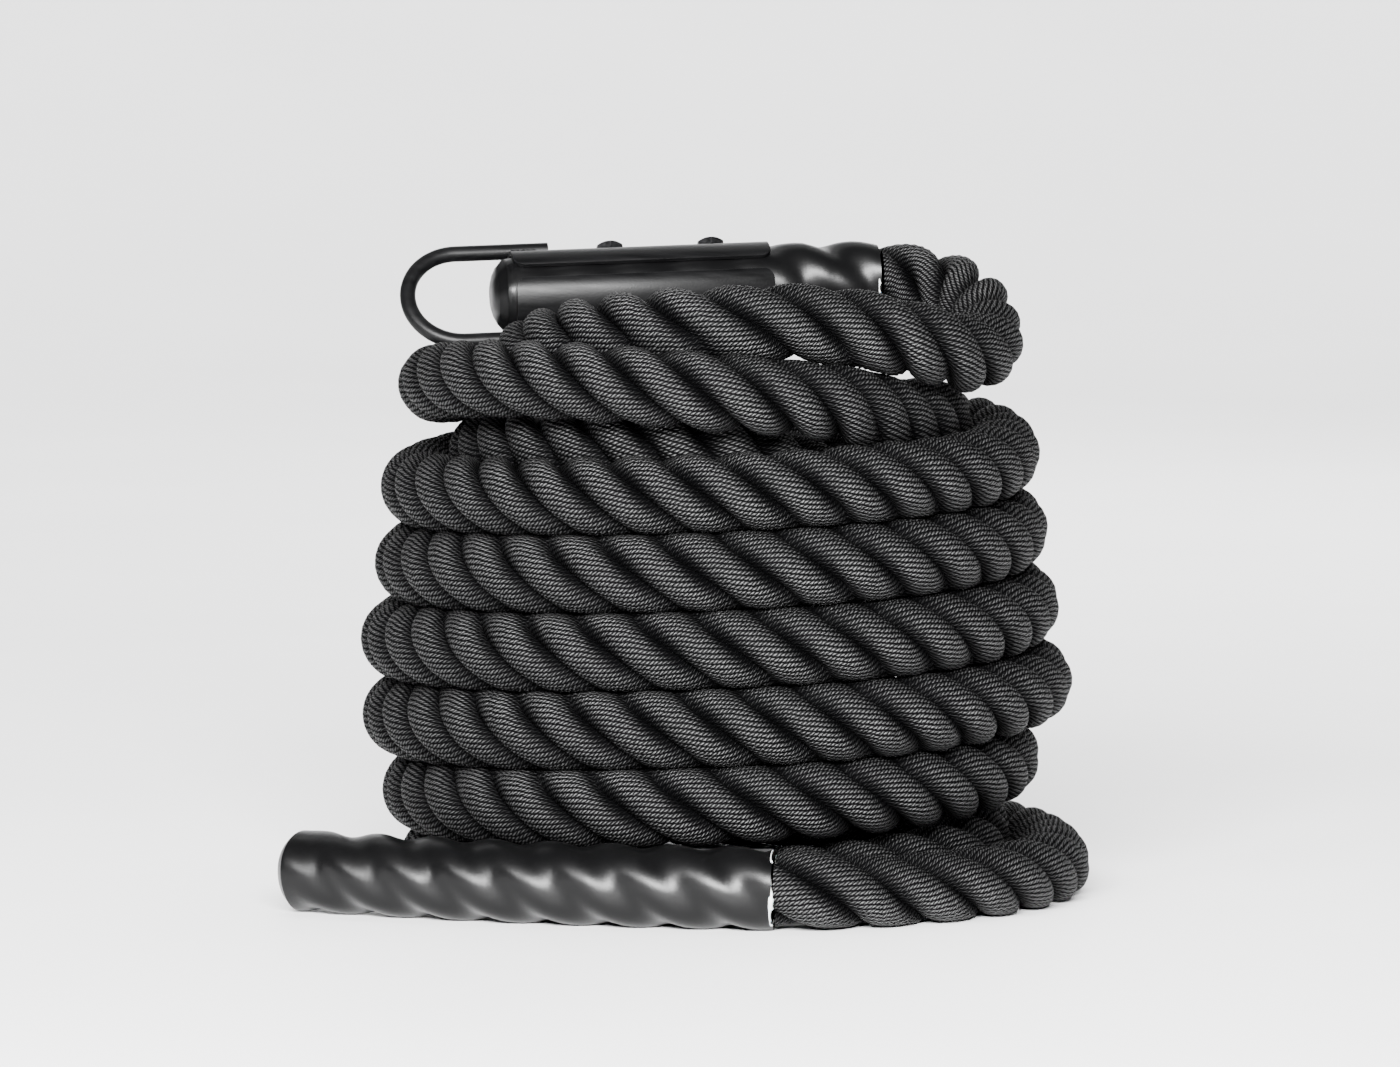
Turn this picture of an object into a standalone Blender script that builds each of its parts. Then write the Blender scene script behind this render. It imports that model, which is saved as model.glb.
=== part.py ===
"""Sled pulling rope: a thick three-strand rope lying in a round coil.

One end has a sleeved pull handle, which lies on the floor beside the coil. The other end
has a hook fitting, which lies on top of the coil: a closed sleeve, two clamp plates
bolted through the rope, and a round-bar bail welded to the plates.

Metres, +Z up. The origin is on the floor, in the middle of the part's footprint.
"""

import math

import bmesh
import bpy
import numpy as np
from mathutils import Matrix, Vector

# Fits
SEAT = 0.0003
OVERRUN = 0.012

# Rope
ROPE_DIAMETER = 0.038
LAY_LENGTH = 0.092
ROPE_RADIUS = ROPE_DIAMETER / 2

# Coil: turns lie one pitch apart, and the rope's underside is pressed flat on the floor
TURN_CLEARANCE = 0.0005
TURN_PITCH = ROPE_DIAMETER + TURN_CLEARANCE
COIL_RADIUS = 0.151
FLAT_SHARE = 0.1
FLOOR_LINE = ROPE_RADIUS - FLAT_SHARE * ROPE_DIAMETER
POINTS_PER_TURN = 24
TURN = 360
START_ANGLE = -60
END_ANGLE = 3180

# The turns on the floor: angle in degrees seen from above, then how far the rope's middle
# lies outside the coil's radius and above the floor line, in turn pitches
FLOOR_TURN_SHARES = (
    (-60, 0.92, 0.0), (-40, 0.87, 0.0), (-20, 0.73, 0.0), (0, 0.51, 0.0),
    (20, 0.53, 0.0), (45, 0.62, 0.0), (90, 0.81, 0.0), (112.5, 0.6, 0.0),
    (135, 0.03, 0.0), (157.5, -0.44, 0.0), (180, -0.55, 0.0), (225, -0.49, 0.0),
    (270, -0.31, 0.0), (315, -0.26, 0.11),
)

# One of the turns that are stacked alike: angle, then height in turn pitches
STACK_HEIGHT_SHARES = (
    (0, 0.35), (45, 0.55), (90, 0.75), (135, 1.01),
    (180, 0.9), (225, 0.97), (270, 1.09), (315, 1.2),
)

# How far each stacked turn bulges at the right, the back, the left and the front
STACK_BULGE_SHARES = (
    (-0.48, -0.08, -0.09, 0.0),
    (-0.1, -0.03, 0.18, 0.0),
    (0.34, 0.0, 0.2, 0.0),
    (0.16, 0.0, 0.01, 0.0),
    (0.01, -0.03, -0.07, 0.0),
)

# The loose turns on top, counted on from the end of the stack
TOP_TURN_SHARES = (
    (0, -0.1, 0.35), (45, -0.03, 0.57), (90, -0.03, 0.78), (135, -0.08, 1.05),
    (180, -0.31, 1.24), (202.5, -0.22, 1.38), (225, -0.1, 1.47), (247.5, -0.01, 1.47),
    (270, 0.03, 1.38), (292.5, -0.29, 1.21), (315, -0.71, 0.96), (360, -1.01, 0.79),
    (405, -1.04, 0.72), (450, -1.04, 0.61), (495, -1.03, 0.5), (540, -0.97, 0.38),
    (585, -0.88, 0.56), (630, -0.87, 0.63), (652.5, -1.08, 0.23), (675, -1.12, -0.16),
    (720, -1.09, -0.26), (742.5, -1.3, -0.23), (765, -1.61, -0.14), (810, -2.01, 0.27),
    (855, -2.02, 0.86), (900, -1.71, 1.14), (911, -1.55, 1.3), (922.5, -1.33, 1.57),
    (945, -1.06, 1.88), (967.5, -0.84, 2.09), (990, -0.6, 2.2), (1012.5, -0.65, 2.23), (1025, -0.55, 2.16),
)

# The loop from the coil's end up into the hook fitting, on the same three scales, each place
# with the share of the mouth's own way out that it follows
LEAD_SHARES = (
    (-40, -0.27, 6.92, 0.0), (-26, -0.2, 6.74, 0.15), (-16.5, -0.22, 6.79, 0.35),
    (-6, -0.33, 6.95, 0.6), (3.5, -0.44, 7.2, 0.85), (12, -0.66, 7.42, 1.0),
)
MOUTH_OUT_SHARE = -1.297
LEAD_POINTS = 18
TAIL_POINTS = 6
END_RUN = ROPE_DIAMETER / 8

# Sleeves: closed tubes shrunk over the rope, so that the strands show as lobes
LOBES = 3
SECTION_POINTS = 24
SLEEVE_WALL = 0.0015
RING_STEP = 0.005
END_WALL = 0.003

# Pull handle
HANDLE_LENGTH = 0.255
HANDLE_RADIUS = 0.0205
HANDLE_LOBE_DEPTH = 0.0016
HANDLE_MOUTH_ANGLE = -80.7
HANDLE_MOUTH_SHARE = 0.97
HANDLE_MOUTH_YAW = math.radians(-8)
HANDLE_BEND = math.radians(21)
HANDLE_END_SHARES = ((0.0, 0.9), (0.006, 0.975), (0.018, 1.0), (1.0, 1.0))

# Hook sleeve: distances along the fitting are measured from its closed end
HOOK_SLEEVE_LENGTH = 0.19
HOOK_SLEEVE_RADIUS = 0.0199
HOOK_LOBE_DEPTH = 0.0011
HOOK_SWELL_SHARES = (
    (0.0, 0.62), (0.006, 0.82), (0.018, 0.95), (0.035, 0.99), (0.06, 1.0), (0.7, 1.0),
    (0.76, 1.04), (0.83, 1.09), (0.9, 1.03), (0.96, 1.07), (1.0, 1.05),
)
FITTING_YAW = math.radians(9.1)
FITTING_RISE = math.radians(1.8)
REST_ANGLE = 3071
REST_FROM_END = 0.0083

# Glue bead round the rope at each sleeve's mouth
BEAD_THICKNESS = 0.0016
BEAD_WIDTH = 0.0026
BEAD_STEPS = 32

# Clamp plates: two bent plates, each over less than half of the sleeve
CLAMP_LEAN = math.radians(37)
PLATE_THICKNESS = 0.0022
PLATE_INNER_RADIUS = HOOK_SLEEVE_RADIUS + SEAT
PLATE_OUTER_RADIUS = PLATE_INNER_RADIUS + PLATE_THICKNESS
PLATE_START = 0.002
PLATE_LENGTH = 0.132
PLATE_ARC = math.radians(160)
PLATE_CORNER = 0.0055
PLATE_CORNER_STEPS = 4
PLATE_ARC_STEPS = 16

# Bolts and nuts: M8
BOLT_RADIUS = 0.004
BOLT_HOLE_RADIUS = BOLT_RADIUS + SEAT
HEX_ACROSS_FLATS = 0.013
HEX_RADIUS = HEX_ACROSS_FLATS / math.sqrt(3)
HEAD_HEIGHT = 0.0045
NUT_HEIGHT = 0.0065
THREAD_SHOWING = 0.002
HEX_CHAMFER = 0.0007
BOLT_SPACING = 0.052
BOLT_FROM_PLATE_END = 0.027
BOLT_SIDES = 20

# Bail: a U of round bar, welded along both plates
BAIL_ROD_RADIUS = 0.004
BAIL_HALF_WIDTH = PLATE_OUTER_RADIUS + SEAT + BAIL_ROD_RADIUS
BAIL_LEG_ON_PLATE = 0.0213
BAIL_LEG_PAST_SLEEVE = 0.0243
BAIL_BEND_STEPS = 14
WELD_HALF_LENGTH = 0.0062
WELD_HALF_HEIGHT = 0.0022
WELD_OFFSET = 0.0031
WELD_SEGMENTS = 14
WELD_RINGS = 8
BED_SIDES = 64


def clear_scene():
    for obj in list(bpy.data.objects):
        bpy.data.objects.remove(obj, do_unlink=True)


def new_collection(name):
    collection = bpy.data.collections.new(name)
    bpy.context.scene.collection.children.link(collection)
    return collection


def new_material(name, colour, roughness, metallic):
    material = bpy.data.materials.new(name)
    material.use_nodes = True
    shader = material.node_tree.nodes["Principled BSDF"]
    shader.inputs["Base Color"].default_value = (*colour, 1.0)
    shader.inputs["Roughness"].default_value = roughness
    shader.inputs["Metallic"].default_value = metallic
    material.diffuse_color = (*colour, 1.0)
    return material


def place_in(obj, collection, parent):
    for other in list(obj.users_collection):
        other.objects.unlink(obj)
    collection.objects.link(obj)
    obj.parent = parent
    return obj


def new_empty(name, parent, matrix):
    empty = bpy.data.objects.new(name, None)
    parts.objects.link(empty)
    empty.parent = parent
    empty.matrix_local = matrix
    return empty


def finish(obj, material, sharp_angle=math.radians(35)):
    """Material and smooth shading with sharp edges kept."""
    obj.data.materials.clear()
    obj.data.materials.append(material)
    if obj.type == "MESH":
        obj.data.shade_smooth()
        obj.data.set_sharp_from_angle(angle=sharp_angle)
    return obj


def as_cutter(obj):
    obj.hide_render = True
    obj.display_type = "WIRE"
    return obj


def boolean(obj, other, operation="DIFFERENCE"):
    modifier = obj.modifiers.new(f"{operation.lower()}_{other.name}", "BOOLEAN")
    modifier.operation = operation
    modifier.object = other
    modifier.solver = "EXACT"


def to_mesh_object(obj, collection):
    """A mesh object in place of a curve, with its end caps welded on."""
    name, parent = obj.name, obj.parent
    bpy.context.view_layer.update()
    evaluated = obj.evaluated_get(bpy.context.evaluated_depsgraph_get())
    mesh = bpy.data.meshes.new_from_object(evaluated)
    world = obj.matrix_world.copy()
    curve = obj.data
    bpy.data.objects.remove(obj, do_unlink=True)
    bpy.data.curves.remove(curve)
    work = bmesh.new()
    work.from_mesh(mesh)
    bmesh.ops.remove_doubles(work, verts=work.verts, dist=SEAT / 100)
    bmesh.ops.recalc_face_normals(work, faces=work.faces)
    work.to_mesh(mesh)
    work.free()
    solid = bpy.data.objects.new(name, mesh)
    collection.objects.link(solid)
    solid.parent = parent
    solid.matrix_world = world
    return solid


def poly_curve(name, points, cyclic=False, flat=False):
    curve = bpy.data.curves.new(name, "CURVE")
    curve.dimensions = "2D" if flat else "3D"
    spline = curve.splines.new("POLY")
    spline.points.add(len(points) - 1)
    for point, place in zip(spline.points, points):
        point.co = (*place, 1.0)
    spline.use_cyclic_u = cyclic
    return bpy.data.objects.new(name, curve)


def tube(name, points, radius, resolution, collection, parent, factors=None):
    obj = poly_curve(name, points)
    obj.data.bevel_depth = radius
    obj.data.bevel_resolution = resolution
    obj.data.use_fill_caps = True
    obj.data.twist_mode = "Z_UP"
    for point, factor in zip(obj.data.splines[0].points, factors or []):
        point.radius = factor
    return place_in(obj, collection, parent)


def smooth_curve(stations, rows, wanted, end_slopes=None):
    """Values at the wanted stations, on cubic pieces through the rows with matched slopes."""
    stations, rows, wanted = (np.asarray(each, float) for each in (stations, rows, wanted))
    spans = np.diff(stations)
    rises = np.diff(rows, axis=0) / spans[:, None]
    slopes = np.empty_like(rows)
    slopes[0], slopes[-1] = rises[0], rises[-1]
    mixed = rises[:-1] * spans[1:, None] + rises[1:] * spans[:-1, None]
    slopes[1:-1] = mixed / (spans[:-1] + spans[1:])[:, None]
    if end_slopes is not None:
        slopes[0], slopes[-1] = end_slopes
    piece = np.clip(np.searchsorted(stations, wanted, side="right") - 1, 0, len(spans) - 1)
    span = spans[piece][:, None]
    t = (wanted - stations[piece])[:, None] / span
    ahead = t * t * (3 - 2 * t)
    return (
        (1 - ahead) * rows[piece]
        + ahead * rows[piece + 1]
        + t * (1 - t) ** 2 * span * slopes[piece]
        + t * t * (t - 1) * span * slopes[piece + 1]
    )


def stack_knots():
    """The knots of the stacked turns, each turn one pitch above the last."""
    bulges = [bulge for turn in STACK_BULGE_SHARES for bulge in turn] + [TOP_TURN_SHARES[0][1]]
    knots = []
    for turn in range(len(STACK_BULGE_SHARES)):
        for step, (angle, height) in enumerate(STACK_HEIGHT_SHARES):
            low, high = bulges[4 * turn + step // 2], bulges[4 * turn + (step + 1) // 2]
            knots.append((TURN * (turn + 1) + angle, (low + high) / 2, height + turn))
    return knots


def coil_knots():
    turns = len(STACK_BULGE_SHARES)
    top = [(TURN * (turns + 1) + a, out, up + turns) for a, out, up in TOP_TURN_SHARES]
    return np.array([*FLOOR_TURN_SHARES, *stack_knots(), *top])


def on_coil(angles, shares):
    """Points from angles in degrees and shares of the turn pitch, as rows of x, y, z."""
    turned = np.radians(np.asarray(angles, float))
    out = COIL_RADIUS + shares[:, 0] * TURN_PITCH
    up = FLOOR_LINE + shares[:, 1] * TURN_PITCH
    return np.column_stack([out * np.cos(turned), out * np.sin(turned), up])


def coil_route(angles):
    knots = coil_knots()
    return on_coil(angles, smooth_curve(knots[:, 0], knots[:, 1:], angles))


def coil_points():
    """The coil's points, with its last run made straight for one rope diameter."""
    points = coil_route(np.arange(START_ANGLE, END_ANGLE + 1, TURN / POINTS_PER_TURN))
    last = points[-1] - points[-2]
    points[-1] = points[-2] + last * ROPE_DIAMETER / np.linalg.norm(last)
    return points


def unit(vector):
    return vector / np.linalg.norm(vector)


def route_between(start, start_way, end, end_way, inner, count):
    """Points on one smooth curve, with a short straight run square to each end."""
    rows = np.array([start + start_way * END_RUN, *inner, end - end_way * END_RUN])
    stations = np.concatenate([[0], np.cumsum(np.linalg.norm(np.diff(rows, axis=0), axis=1))])
    wanted = np.linspace(0, stations[-1], count)
    curve = smooth_curve(stations, rows, wanted, (start_way, end_way))
    return np.array([start, *curve, end])


def fitting_matrix():
    """The hook fitting's own frame: +X from its closed end to its mouth, +Z up.

    The bail's lower leg rests on the top turn, which sets the fitting's height.
    """
    before, rest, after = coil_route([REST_ANGLE - 1, REST_ANGLE, REST_ANGLE + 1])
    along = Vector((
        math.cos(FITTING_RISE) * math.cos(FITTING_YAW),
        math.cos(FITTING_RISE) * math.sin(FITTING_YAW),
        math.sin(FITTING_RISE),
    ))
    across = Vector((0, 0, 1)).cross(along).normalized()
    up = along.cross(across)
    lift = Vector(after - before).cross(along).normalized()
    leg = Vector(rest) + lift * (ROPE_RADIUS + SEAT + BAIL_ROD_RADIUS)
    leg_side = across * math.sin(CLAMP_LEAN) + up * math.cos(CLAMP_LEAN)
    origin = leg + leg_side * BAIL_HALF_WIDTH - along * REST_FROM_END
    turn = Matrix((along, across, up)).transposed().to_4x4()
    return Matrix.Translation(origin) @ turn


def handle_mouth():
    """The middle of the handle's mouth, and the way out of it."""
    shares = np.array([[HANDLE_MOUTH_SHARE, 0]])
    x, y, _ = on_coil([HANDLE_MOUTH_ANGLE], shares)[0]
    way = np.array([math.cos(HANDLE_MOUTH_YAW), math.sin(HANDLE_MOUTH_YAW), 0])
    return np.array([x, y, HANDLE_RADIUS]), way


def handle_place(distance):
    """A point of the handle's gently curved axis, at a distance from its closed end."""
    mouth, _ = handle_mouth()
    radius = HANDLE_LENGTH / HANDLE_BEND
    yaw = HANDLE_MOUTH_YAW - (HANDLE_LENGTH - distance) / radius
    x = mouth[0] + radius * (math.sin(yaw) - math.sin(HANDLE_MOUTH_YAW))
    y = mouth[1] - radius * (math.cos(yaw) - math.cos(HANDLE_MOUTH_YAW))
    return x, y, mouth[2]


def mouth_step():
    """How far the rope's free part starts outside a sleeve's mouth, past the glue bead."""
    return BEAD_THICKNESS + 3 * SEAT


def tail_points():
    mouth, way = handle_mouth()
    start = coil_points()[0]
    ahead = unit(coil_points()[1] - start)
    return route_between(
        mouth + way * mouth_step(), way, start - ahead * SEAT, ahead, [], TAIL_POINTS
    )


def lead_points():
    """Points of the lead, whose places move out with the mouth when that lies further out."""
    coil = coil_points()
    ahead = unit(coil[-1] - coil[-2])
    frame = fitting_matrix()
    mouth = np.array(frame @ Vector((HOOK_SLEEVE_LENGTH + mouth_step(), 0, 0)))
    outward = np.array(frame.to_3x3() @ Vector((1, 0, 0)))
    further = mouth @ outward - (COIL_RADIUS + MOUTH_OUT_SHARE * TURN_PITCH)
    shares = np.array(LEAD_SHARES)
    inner = on_coil(shares[:, 0], shares[:, 1:3]) + np.outer(shares[:, 3], outward * further)
    return route_between(coil[-1] + ahead * SEAT, ahead, mouth, -outward, inner, LEAD_POINTS)


def fine_points(points, parts_each=5):
    """The points, with others along each straight run between them, and distances along."""
    share = np.arange(parts_each) / parts_each
    runs = points[:-1, None] * (1 - share)[:, None] + points[1:, None] * share[:, None]
    fine = np.concatenate([runs.reshape(-1, 3), points[-1:]])
    steps = np.linalg.norm(np.diff(fine, axis=0), axis=1)
    return fine, np.concatenate([[0], np.cumsum(steps)])


def print_gaps():
    """The least gap of the coil to itself, and of the free parts to the coil."""
    coil, along = fine_points(coil_points())
    apart = np.linalg.norm(coil[:, None] - coil[None], axis=2)
    apart[abs(along[:, None] - along[None]) < 4 * ROPE_DIAMETER] = math.inf
    spot = coil[np.unravel_index(apart.argmin(), apart.shape)[0]]
    where = " ".join(f"{1000 * value:.0f}" for value in spot)
    print(f"coil: least gap to itself {1000 * (apart.min() - ROPE_DIAMETER):.2f} mm at {where}")
    print("fitting", [round(1000 * value, 1) for value in fitting_matrix().translation])
    lengths = {"coil": along[-1]}
    for name, points in (("tail", tail_points()), ("lead", lead_points())):
        free, distance = fine_points(points)
        lengths[name] = distance[-1]
        beyond = along > 4 * ROPE_DIAMETER
        beyond &= along < along[-1] - 4 * ROPE_DIAMETER
        near = np.linalg.norm(free[:, None] - coil[beyond][None], axis=2)
        spot = np.unravel_index(near.argmin(), near.shape)
        gap = 1000 * (near.min() - ROPE_DIAMETER)
        where = " ".join(f"{1000 * value:.0f}" for value in free[spot[0]])
        print(f"{name}: {distance[-1]:.3f} m, least gap to the coil {gap:.2f} mm at {where}")
    lengths["in the sleeves"] = HANDLE_LENGTH + HOOK_SLEEVE_LENGTH - 4 * SLEEVE_WALL
    print(f"rope: {sum(lengths.values()):.3f} m in all, {lengths}")


def flat_floor_cutter(parent):
    """A slab under the floor line, wider than the coil."""
    side = 2 * (COIL_RADIUS + 2 * ROPE_DIAMETER)
    bpy.ops.mesh.primitive_cube_add(size=1, location=(0, 0, -ROPE_DIAMETER / 2))
    slab = bpy.context.object
    slab.name = "floor_slab"
    slab.scale = (side, side, ROPE_DIAMETER)
    return as_cutter(place_in(slab, cutters, parent))


def make_rope(parent):
    """The coil and its two free ends. What lies on the floor is cut flat there."""
    slab = flat_floor_cutter(parent)
    coil = tube("rope_coil", coil_points(), ROPE_RADIUS, 1, parts, parent)
    coil = to_mesh_object(coil, parts)
    boolean(coil, slab)
    finish(coil, rope_black, math.radians(70))
    tail = tube("rope_tail", tail_points(), ROPE_RADIUS, 3, parts, parent)
    tail = to_mesh_object(tail, parts)
    boolean(tail, slab)
    finish(tail, rope_black)
    lead = tube("rope_lead", lead_points(), ROPE_RADIUS, 3, parts, parent)
    finish(lead, rope_black)


def lobed_tube(name, stations, points, factors, crest, depth, parent):
    """A tube whose section has one lobe per strand, turning with the rope's lay."""
    outline = []
    for step in range(SECTION_POINTS):
        angle = 2 * math.pi * step / SECTION_POINTS
        radius = crest - depth * (1 - math.cos(LOBES * angle)) / 2
        outline.append((radius * math.cos(angle), radius * math.sin(angle), 0))
    section = poly_curve(f"{name}_section", outline, cyclic=True, flat=True)
    cutters.objects.link(section)
    obj = poly_curve(name, points)
    obj.data.bevel_mode = "OBJECT"
    obj.data.bevel_object = as_cutter(section)
    obj.data.use_fill_caps = True
    for point, station, factor in zip(obj.data.splines[0].points, stations, factors):
        point.tilt = 2 * math.pi * station / LAY_LENGTH
        point.radius = factor
    solid = to_mesh_object(place_in(obj, parts, parent), parts)
    bpy.data.objects.remove(section, do_unlink=True)
    return solid


def sleeve_stations(shares, start, end, length):
    """Distances from the closed end: even rings, and the places where the swell changes."""
    near = RING_STEP / 3
    bends = [share * length for share, _ in shares]
    kept = [bend for bend in bends if start + near < bend < end - near]
    rings = round((end - start) / RING_STEP)
    even = [start + (end - start) * ring / rings for ring in range(1, rings)]
    even = [station for station in even if all(abs(station - bend) > near for bend in kept)]
    return [start, *sorted(kept + even), end]


def make_sleeve(name, place, length, shares, crest, depth, parent, holes=()):
    """A closed sleeve and the rope's end that fills it, with the holes through both.

    It returns the radius of the rope at the sleeve's mouth.
    """
    def along(start, end):
        stations = sleeve_stations(shares, start, end, length)
        places, factors = zip(*shares)
        swell = np.interp([station / length for station in stations], places, factors)
        return stations, [place(station) for station in stations], [float(f) for f in swell]

    sleeve = lobed_tube(f"{name}_sleeve", *along(0, length), crest, depth, parent)
    bore = crest - depth - SLEEVE_WALL
    _, points, factors = along(END_WALL, length + OVERRUN)
    cavity = tube(f"{name}_cavity", points, bore, 4, cutters, parent, factors)
    cavity = as_cutter(to_mesh_object(cavity, cutters))
    for cutter in (cavity, *holes):
        boolean(sleeve, cutter)
    finish(sleeve, sleeve_black)
    _, points, factors = along(END_WALL + SEAT, length + mouth_step() - SEAT)
    rope = tube(f"rope_end_{name}", points, bore - SEAT, 4, parts, parent, factors)
    rope = to_mesh_object(rope, parts)
    for cutter in holes:
        boolean(rope, cutter)
    finish(rope, rope_black)
    return (bore - SEAT) * factors[-1]


def make_bead(name, mouth, way, rope_radius, parent):
    """A turned ring of glue round the rope, just outside a mouth."""
    inner, outer = rope_radius + SEAT, rope_radius + SEAT + BEAD_WIDTH
    low, high = SEAT, SEAT + BEAD_THICKNESS
    rounding = BEAD_THICKNESS / 3
    profile = [
        (inner, 0, high), (outer - rounding, 0, high), (outer, 0, high - rounding),
        (outer, 0, low), (inner, 0, low),
    ]
    edges = [(number, (number + 1) % len(profile)) for number in range(len(profile))]
    mesh = bpy.data.meshes.new(name)
    mesh.from_pydata(profile, edges, [])
    bead = place_in(bpy.data.objects.new(name, mesh), parts, parent)
    turn = bead.modifiers.new("turn", "SCREW")
    turn.axis = "Z"
    turn.steps = turn.render_steps = BEAD_STEPS
    turn.use_merge_vertices = True
    turn.merge_threshold = SEAT / 100
    bead.rotation_euler = Vector(way).to_track_quat("Z", "Y").to_euler()
    bead.location = mouth
    finish(bead, glue_white)


def make_handle(parent):
    rope_radius = make_sleeve(
        "handle", handle_place, HANDLE_LENGTH, HANDLE_END_SHARES,
        HANDLE_RADIUS, HANDLE_LOBE_DEPTH, parent,
    )
    mouth, way = handle_mouth()
    make_bead("glue_bead_handle", mouth, way, rope_radius, parent)


def make_hook_sleeve(parent, holes):
    rope_radius = make_sleeve(
        "hook", lambda distance: (distance, 0, 0), HOOK_SLEEVE_LENGTH, HOOK_SWELL_SHARES,
        HOOK_SLEEVE_RADIUS, HOOK_LOBE_DEPTH, parent, holes,
    )
    mouth = Vector((HOOK_SLEEVE_LENGTH, 0, 0))
    make_bead("glue_bead_hook", mouth, Vector((1, 0, 0)), rope_radius, parent)


def plate_rows():
    """Distances across the bent plate from one edge, and how far the corners draw in."""
    width = PLATE_ARC * PLATE_INNER_RADIUS
    rows = []
    for step in range(PLATE_CORNER_STEPS + 1):
        angle = math.pi / 2 * step / PLATE_CORNER_STEPS
        rows.append((PLATE_CORNER * (1 - math.cos(angle)), PLATE_CORNER * (1 - math.sin(angle))))
    flat = width - 2 * PLATE_CORNER
    middle = [(PLATE_CORNER + flat * k / PLATE_ARC_STEPS, 0) for k in range(1, PLATE_ARC_STEPS)]
    return rows + middle + [(width - across, drawn) for across, drawn in reversed(rows)]


def make_plate(name, parent, turned, holes):
    """A flat sheet wrapped over the sleeve, given its thickness, then drilled."""
    rows = plate_rows()
    work = bmesh.new()
    bmesh.ops.create_grid(work, x_segments=1, y_segments=len(rows) - 1, size=1)
    ordered = sorted(work.verts, key=lambda vert: (round(vert.co.y, 6), vert.co.x))
    for index, vert in enumerate(ordered):
        across, drawn = rows[index // 2]
        angle = across / PLATE_INNER_RADIUS - PLATE_ARC / 2
        ends = (PLATE_START + drawn, PLATE_START + PLATE_LENGTH - drawn)
        side = PLATE_INNER_RADIUS * math.sin(angle)
        vert.co = (ends[index % 2], side, PLATE_INNER_RADIUS * math.cos(angle))
    bmesh.ops.recalc_face_normals(work, faces=work.faces)
    if sum(face.normal.z for face in work.faces) < 0:
        bmesh.ops.reverse_faces(work, faces=work.faces)
    mesh = bpy.data.meshes.new(name)
    work.to_mesh(mesh)
    work.free()
    plate = place_in(bpy.data.objects.new(name, mesh), parts, parent)
    plate.rotation_euler.x = turned
    wall = plate.modifiers.new("thickness", "SOLIDIFY")
    wall.thickness = PLATE_THICKNESS
    wall.offset = 1
    wall.use_even_offset = True
    for hole in holes:
        boolean(plate, hole)
    finish(plate, steel_black)


def bolt_places():
    last = PLATE_START + PLATE_LENGTH - BOLT_FROM_PLATE_END
    return {"eye_side": last - BOLT_SPACING, "rope_side": last}


def cylinder(name, radius, low, high, x, sides, collection, parent):
    """A cylinder along Z at this place along the fitting."""
    bpy.ops.mesh.primitive_cylinder_add(vertices=sides, radius=radius, depth=high - low)
    obj = bpy.context.object
    obj.name = name
    obj.data.transform(Matrix.Translation((0, 0, (low + high) / 2)))
    obj.location = (x, 0, 0)
    return place_in(obj, collection, parent)


def chamfer(obj, width):
    bevel = obj.modifiers.new("chamfer", "BEVEL")
    bevel.width = width
    bevel.segments = 1
    bevel.limit_method = "ANGLE"
    bevel.angle_limit = math.radians(50)


def make_bolt(name, x, parent):
    under = PLATE_OUTER_RADIUS + SEAT
    tip = -(under + NUT_HEIGHT + THREAD_SHOWING)
    bolt = cylinder(name, HEX_RADIUS, under, under + HEAD_HEIGHT, x, 6, parts, parent)
    chamfer(bolt, HEX_CHAMFER)
    middle = under + HEAD_HEIGHT / 2
    shank = cylinder(f"{name}_shank", BOLT_RADIUS, tip, middle, x, BOLT_SIDES, cutters, parent)
    chamfer(as_cutter(shank), HEX_CHAMFER)
    boolean(bolt, shank, "UNION")
    finish(bolt, steel_dark)


def make_nut(name, x, parent):
    under = -(PLATE_OUTER_RADIUS + SEAT)
    nut = cylinder(name, HEX_RADIUS, under - NUT_HEIGHT, under, x, 6, parts, parent)
    chamfer(nut, HEX_CHAMFER)
    low, high = under - NUT_HEIGHT - OVERRUN, under + OVERRUN
    bore = cylinder(f"{name}_bore", BOLT_HOLE_RADIUS, low, high, x, BOLT_SIDES, cutters, parent)
    boolean(nut, as_cutter(bore))
    finish(nut, steel_dark)


def bail_points():
    """One leg, the round end and the other leg, in the plane of the bolts."""
    leg_end = PLATE_START + BAIL_LEG_ON_PLATE
    points = [(leg_end, 0, BAIL_HALF_WIDTH)]
    for step in range(BAIL_BEND_STEPS + 1):
        angle = math.pi / 2 + math.pi * step / BAIL_BEND_STEPS
        x = -BAIL_LEG_PAST_SLEEVE + BAIL_HALF_WIDTH * math.cos(angle)
        points.append((x, 0, BAIL_HALF_WIDTH * math.sin(angle)))
    return points + [(leg_end, 0, -BAIL_HALF_WIDTH)]


def weld_run(name, place, parent):
    bpy.ops.mesh.primitive_uv_sphere_add(segments=WELD_SEGMENTS, ring_count=WELD_RINGS, radius=1)
    weld = bpy.context.object
    weld.name = name
    weld.data.transform(
        Matrix.Diagonal((WELD_HALF_LENGTH, WELD_HALF_HEIGHT, WELD_HALF_HEIGHT, 1))
    )
    weld.location = place
    return as_cutter(place_in(weld, cutters, parent))


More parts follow.
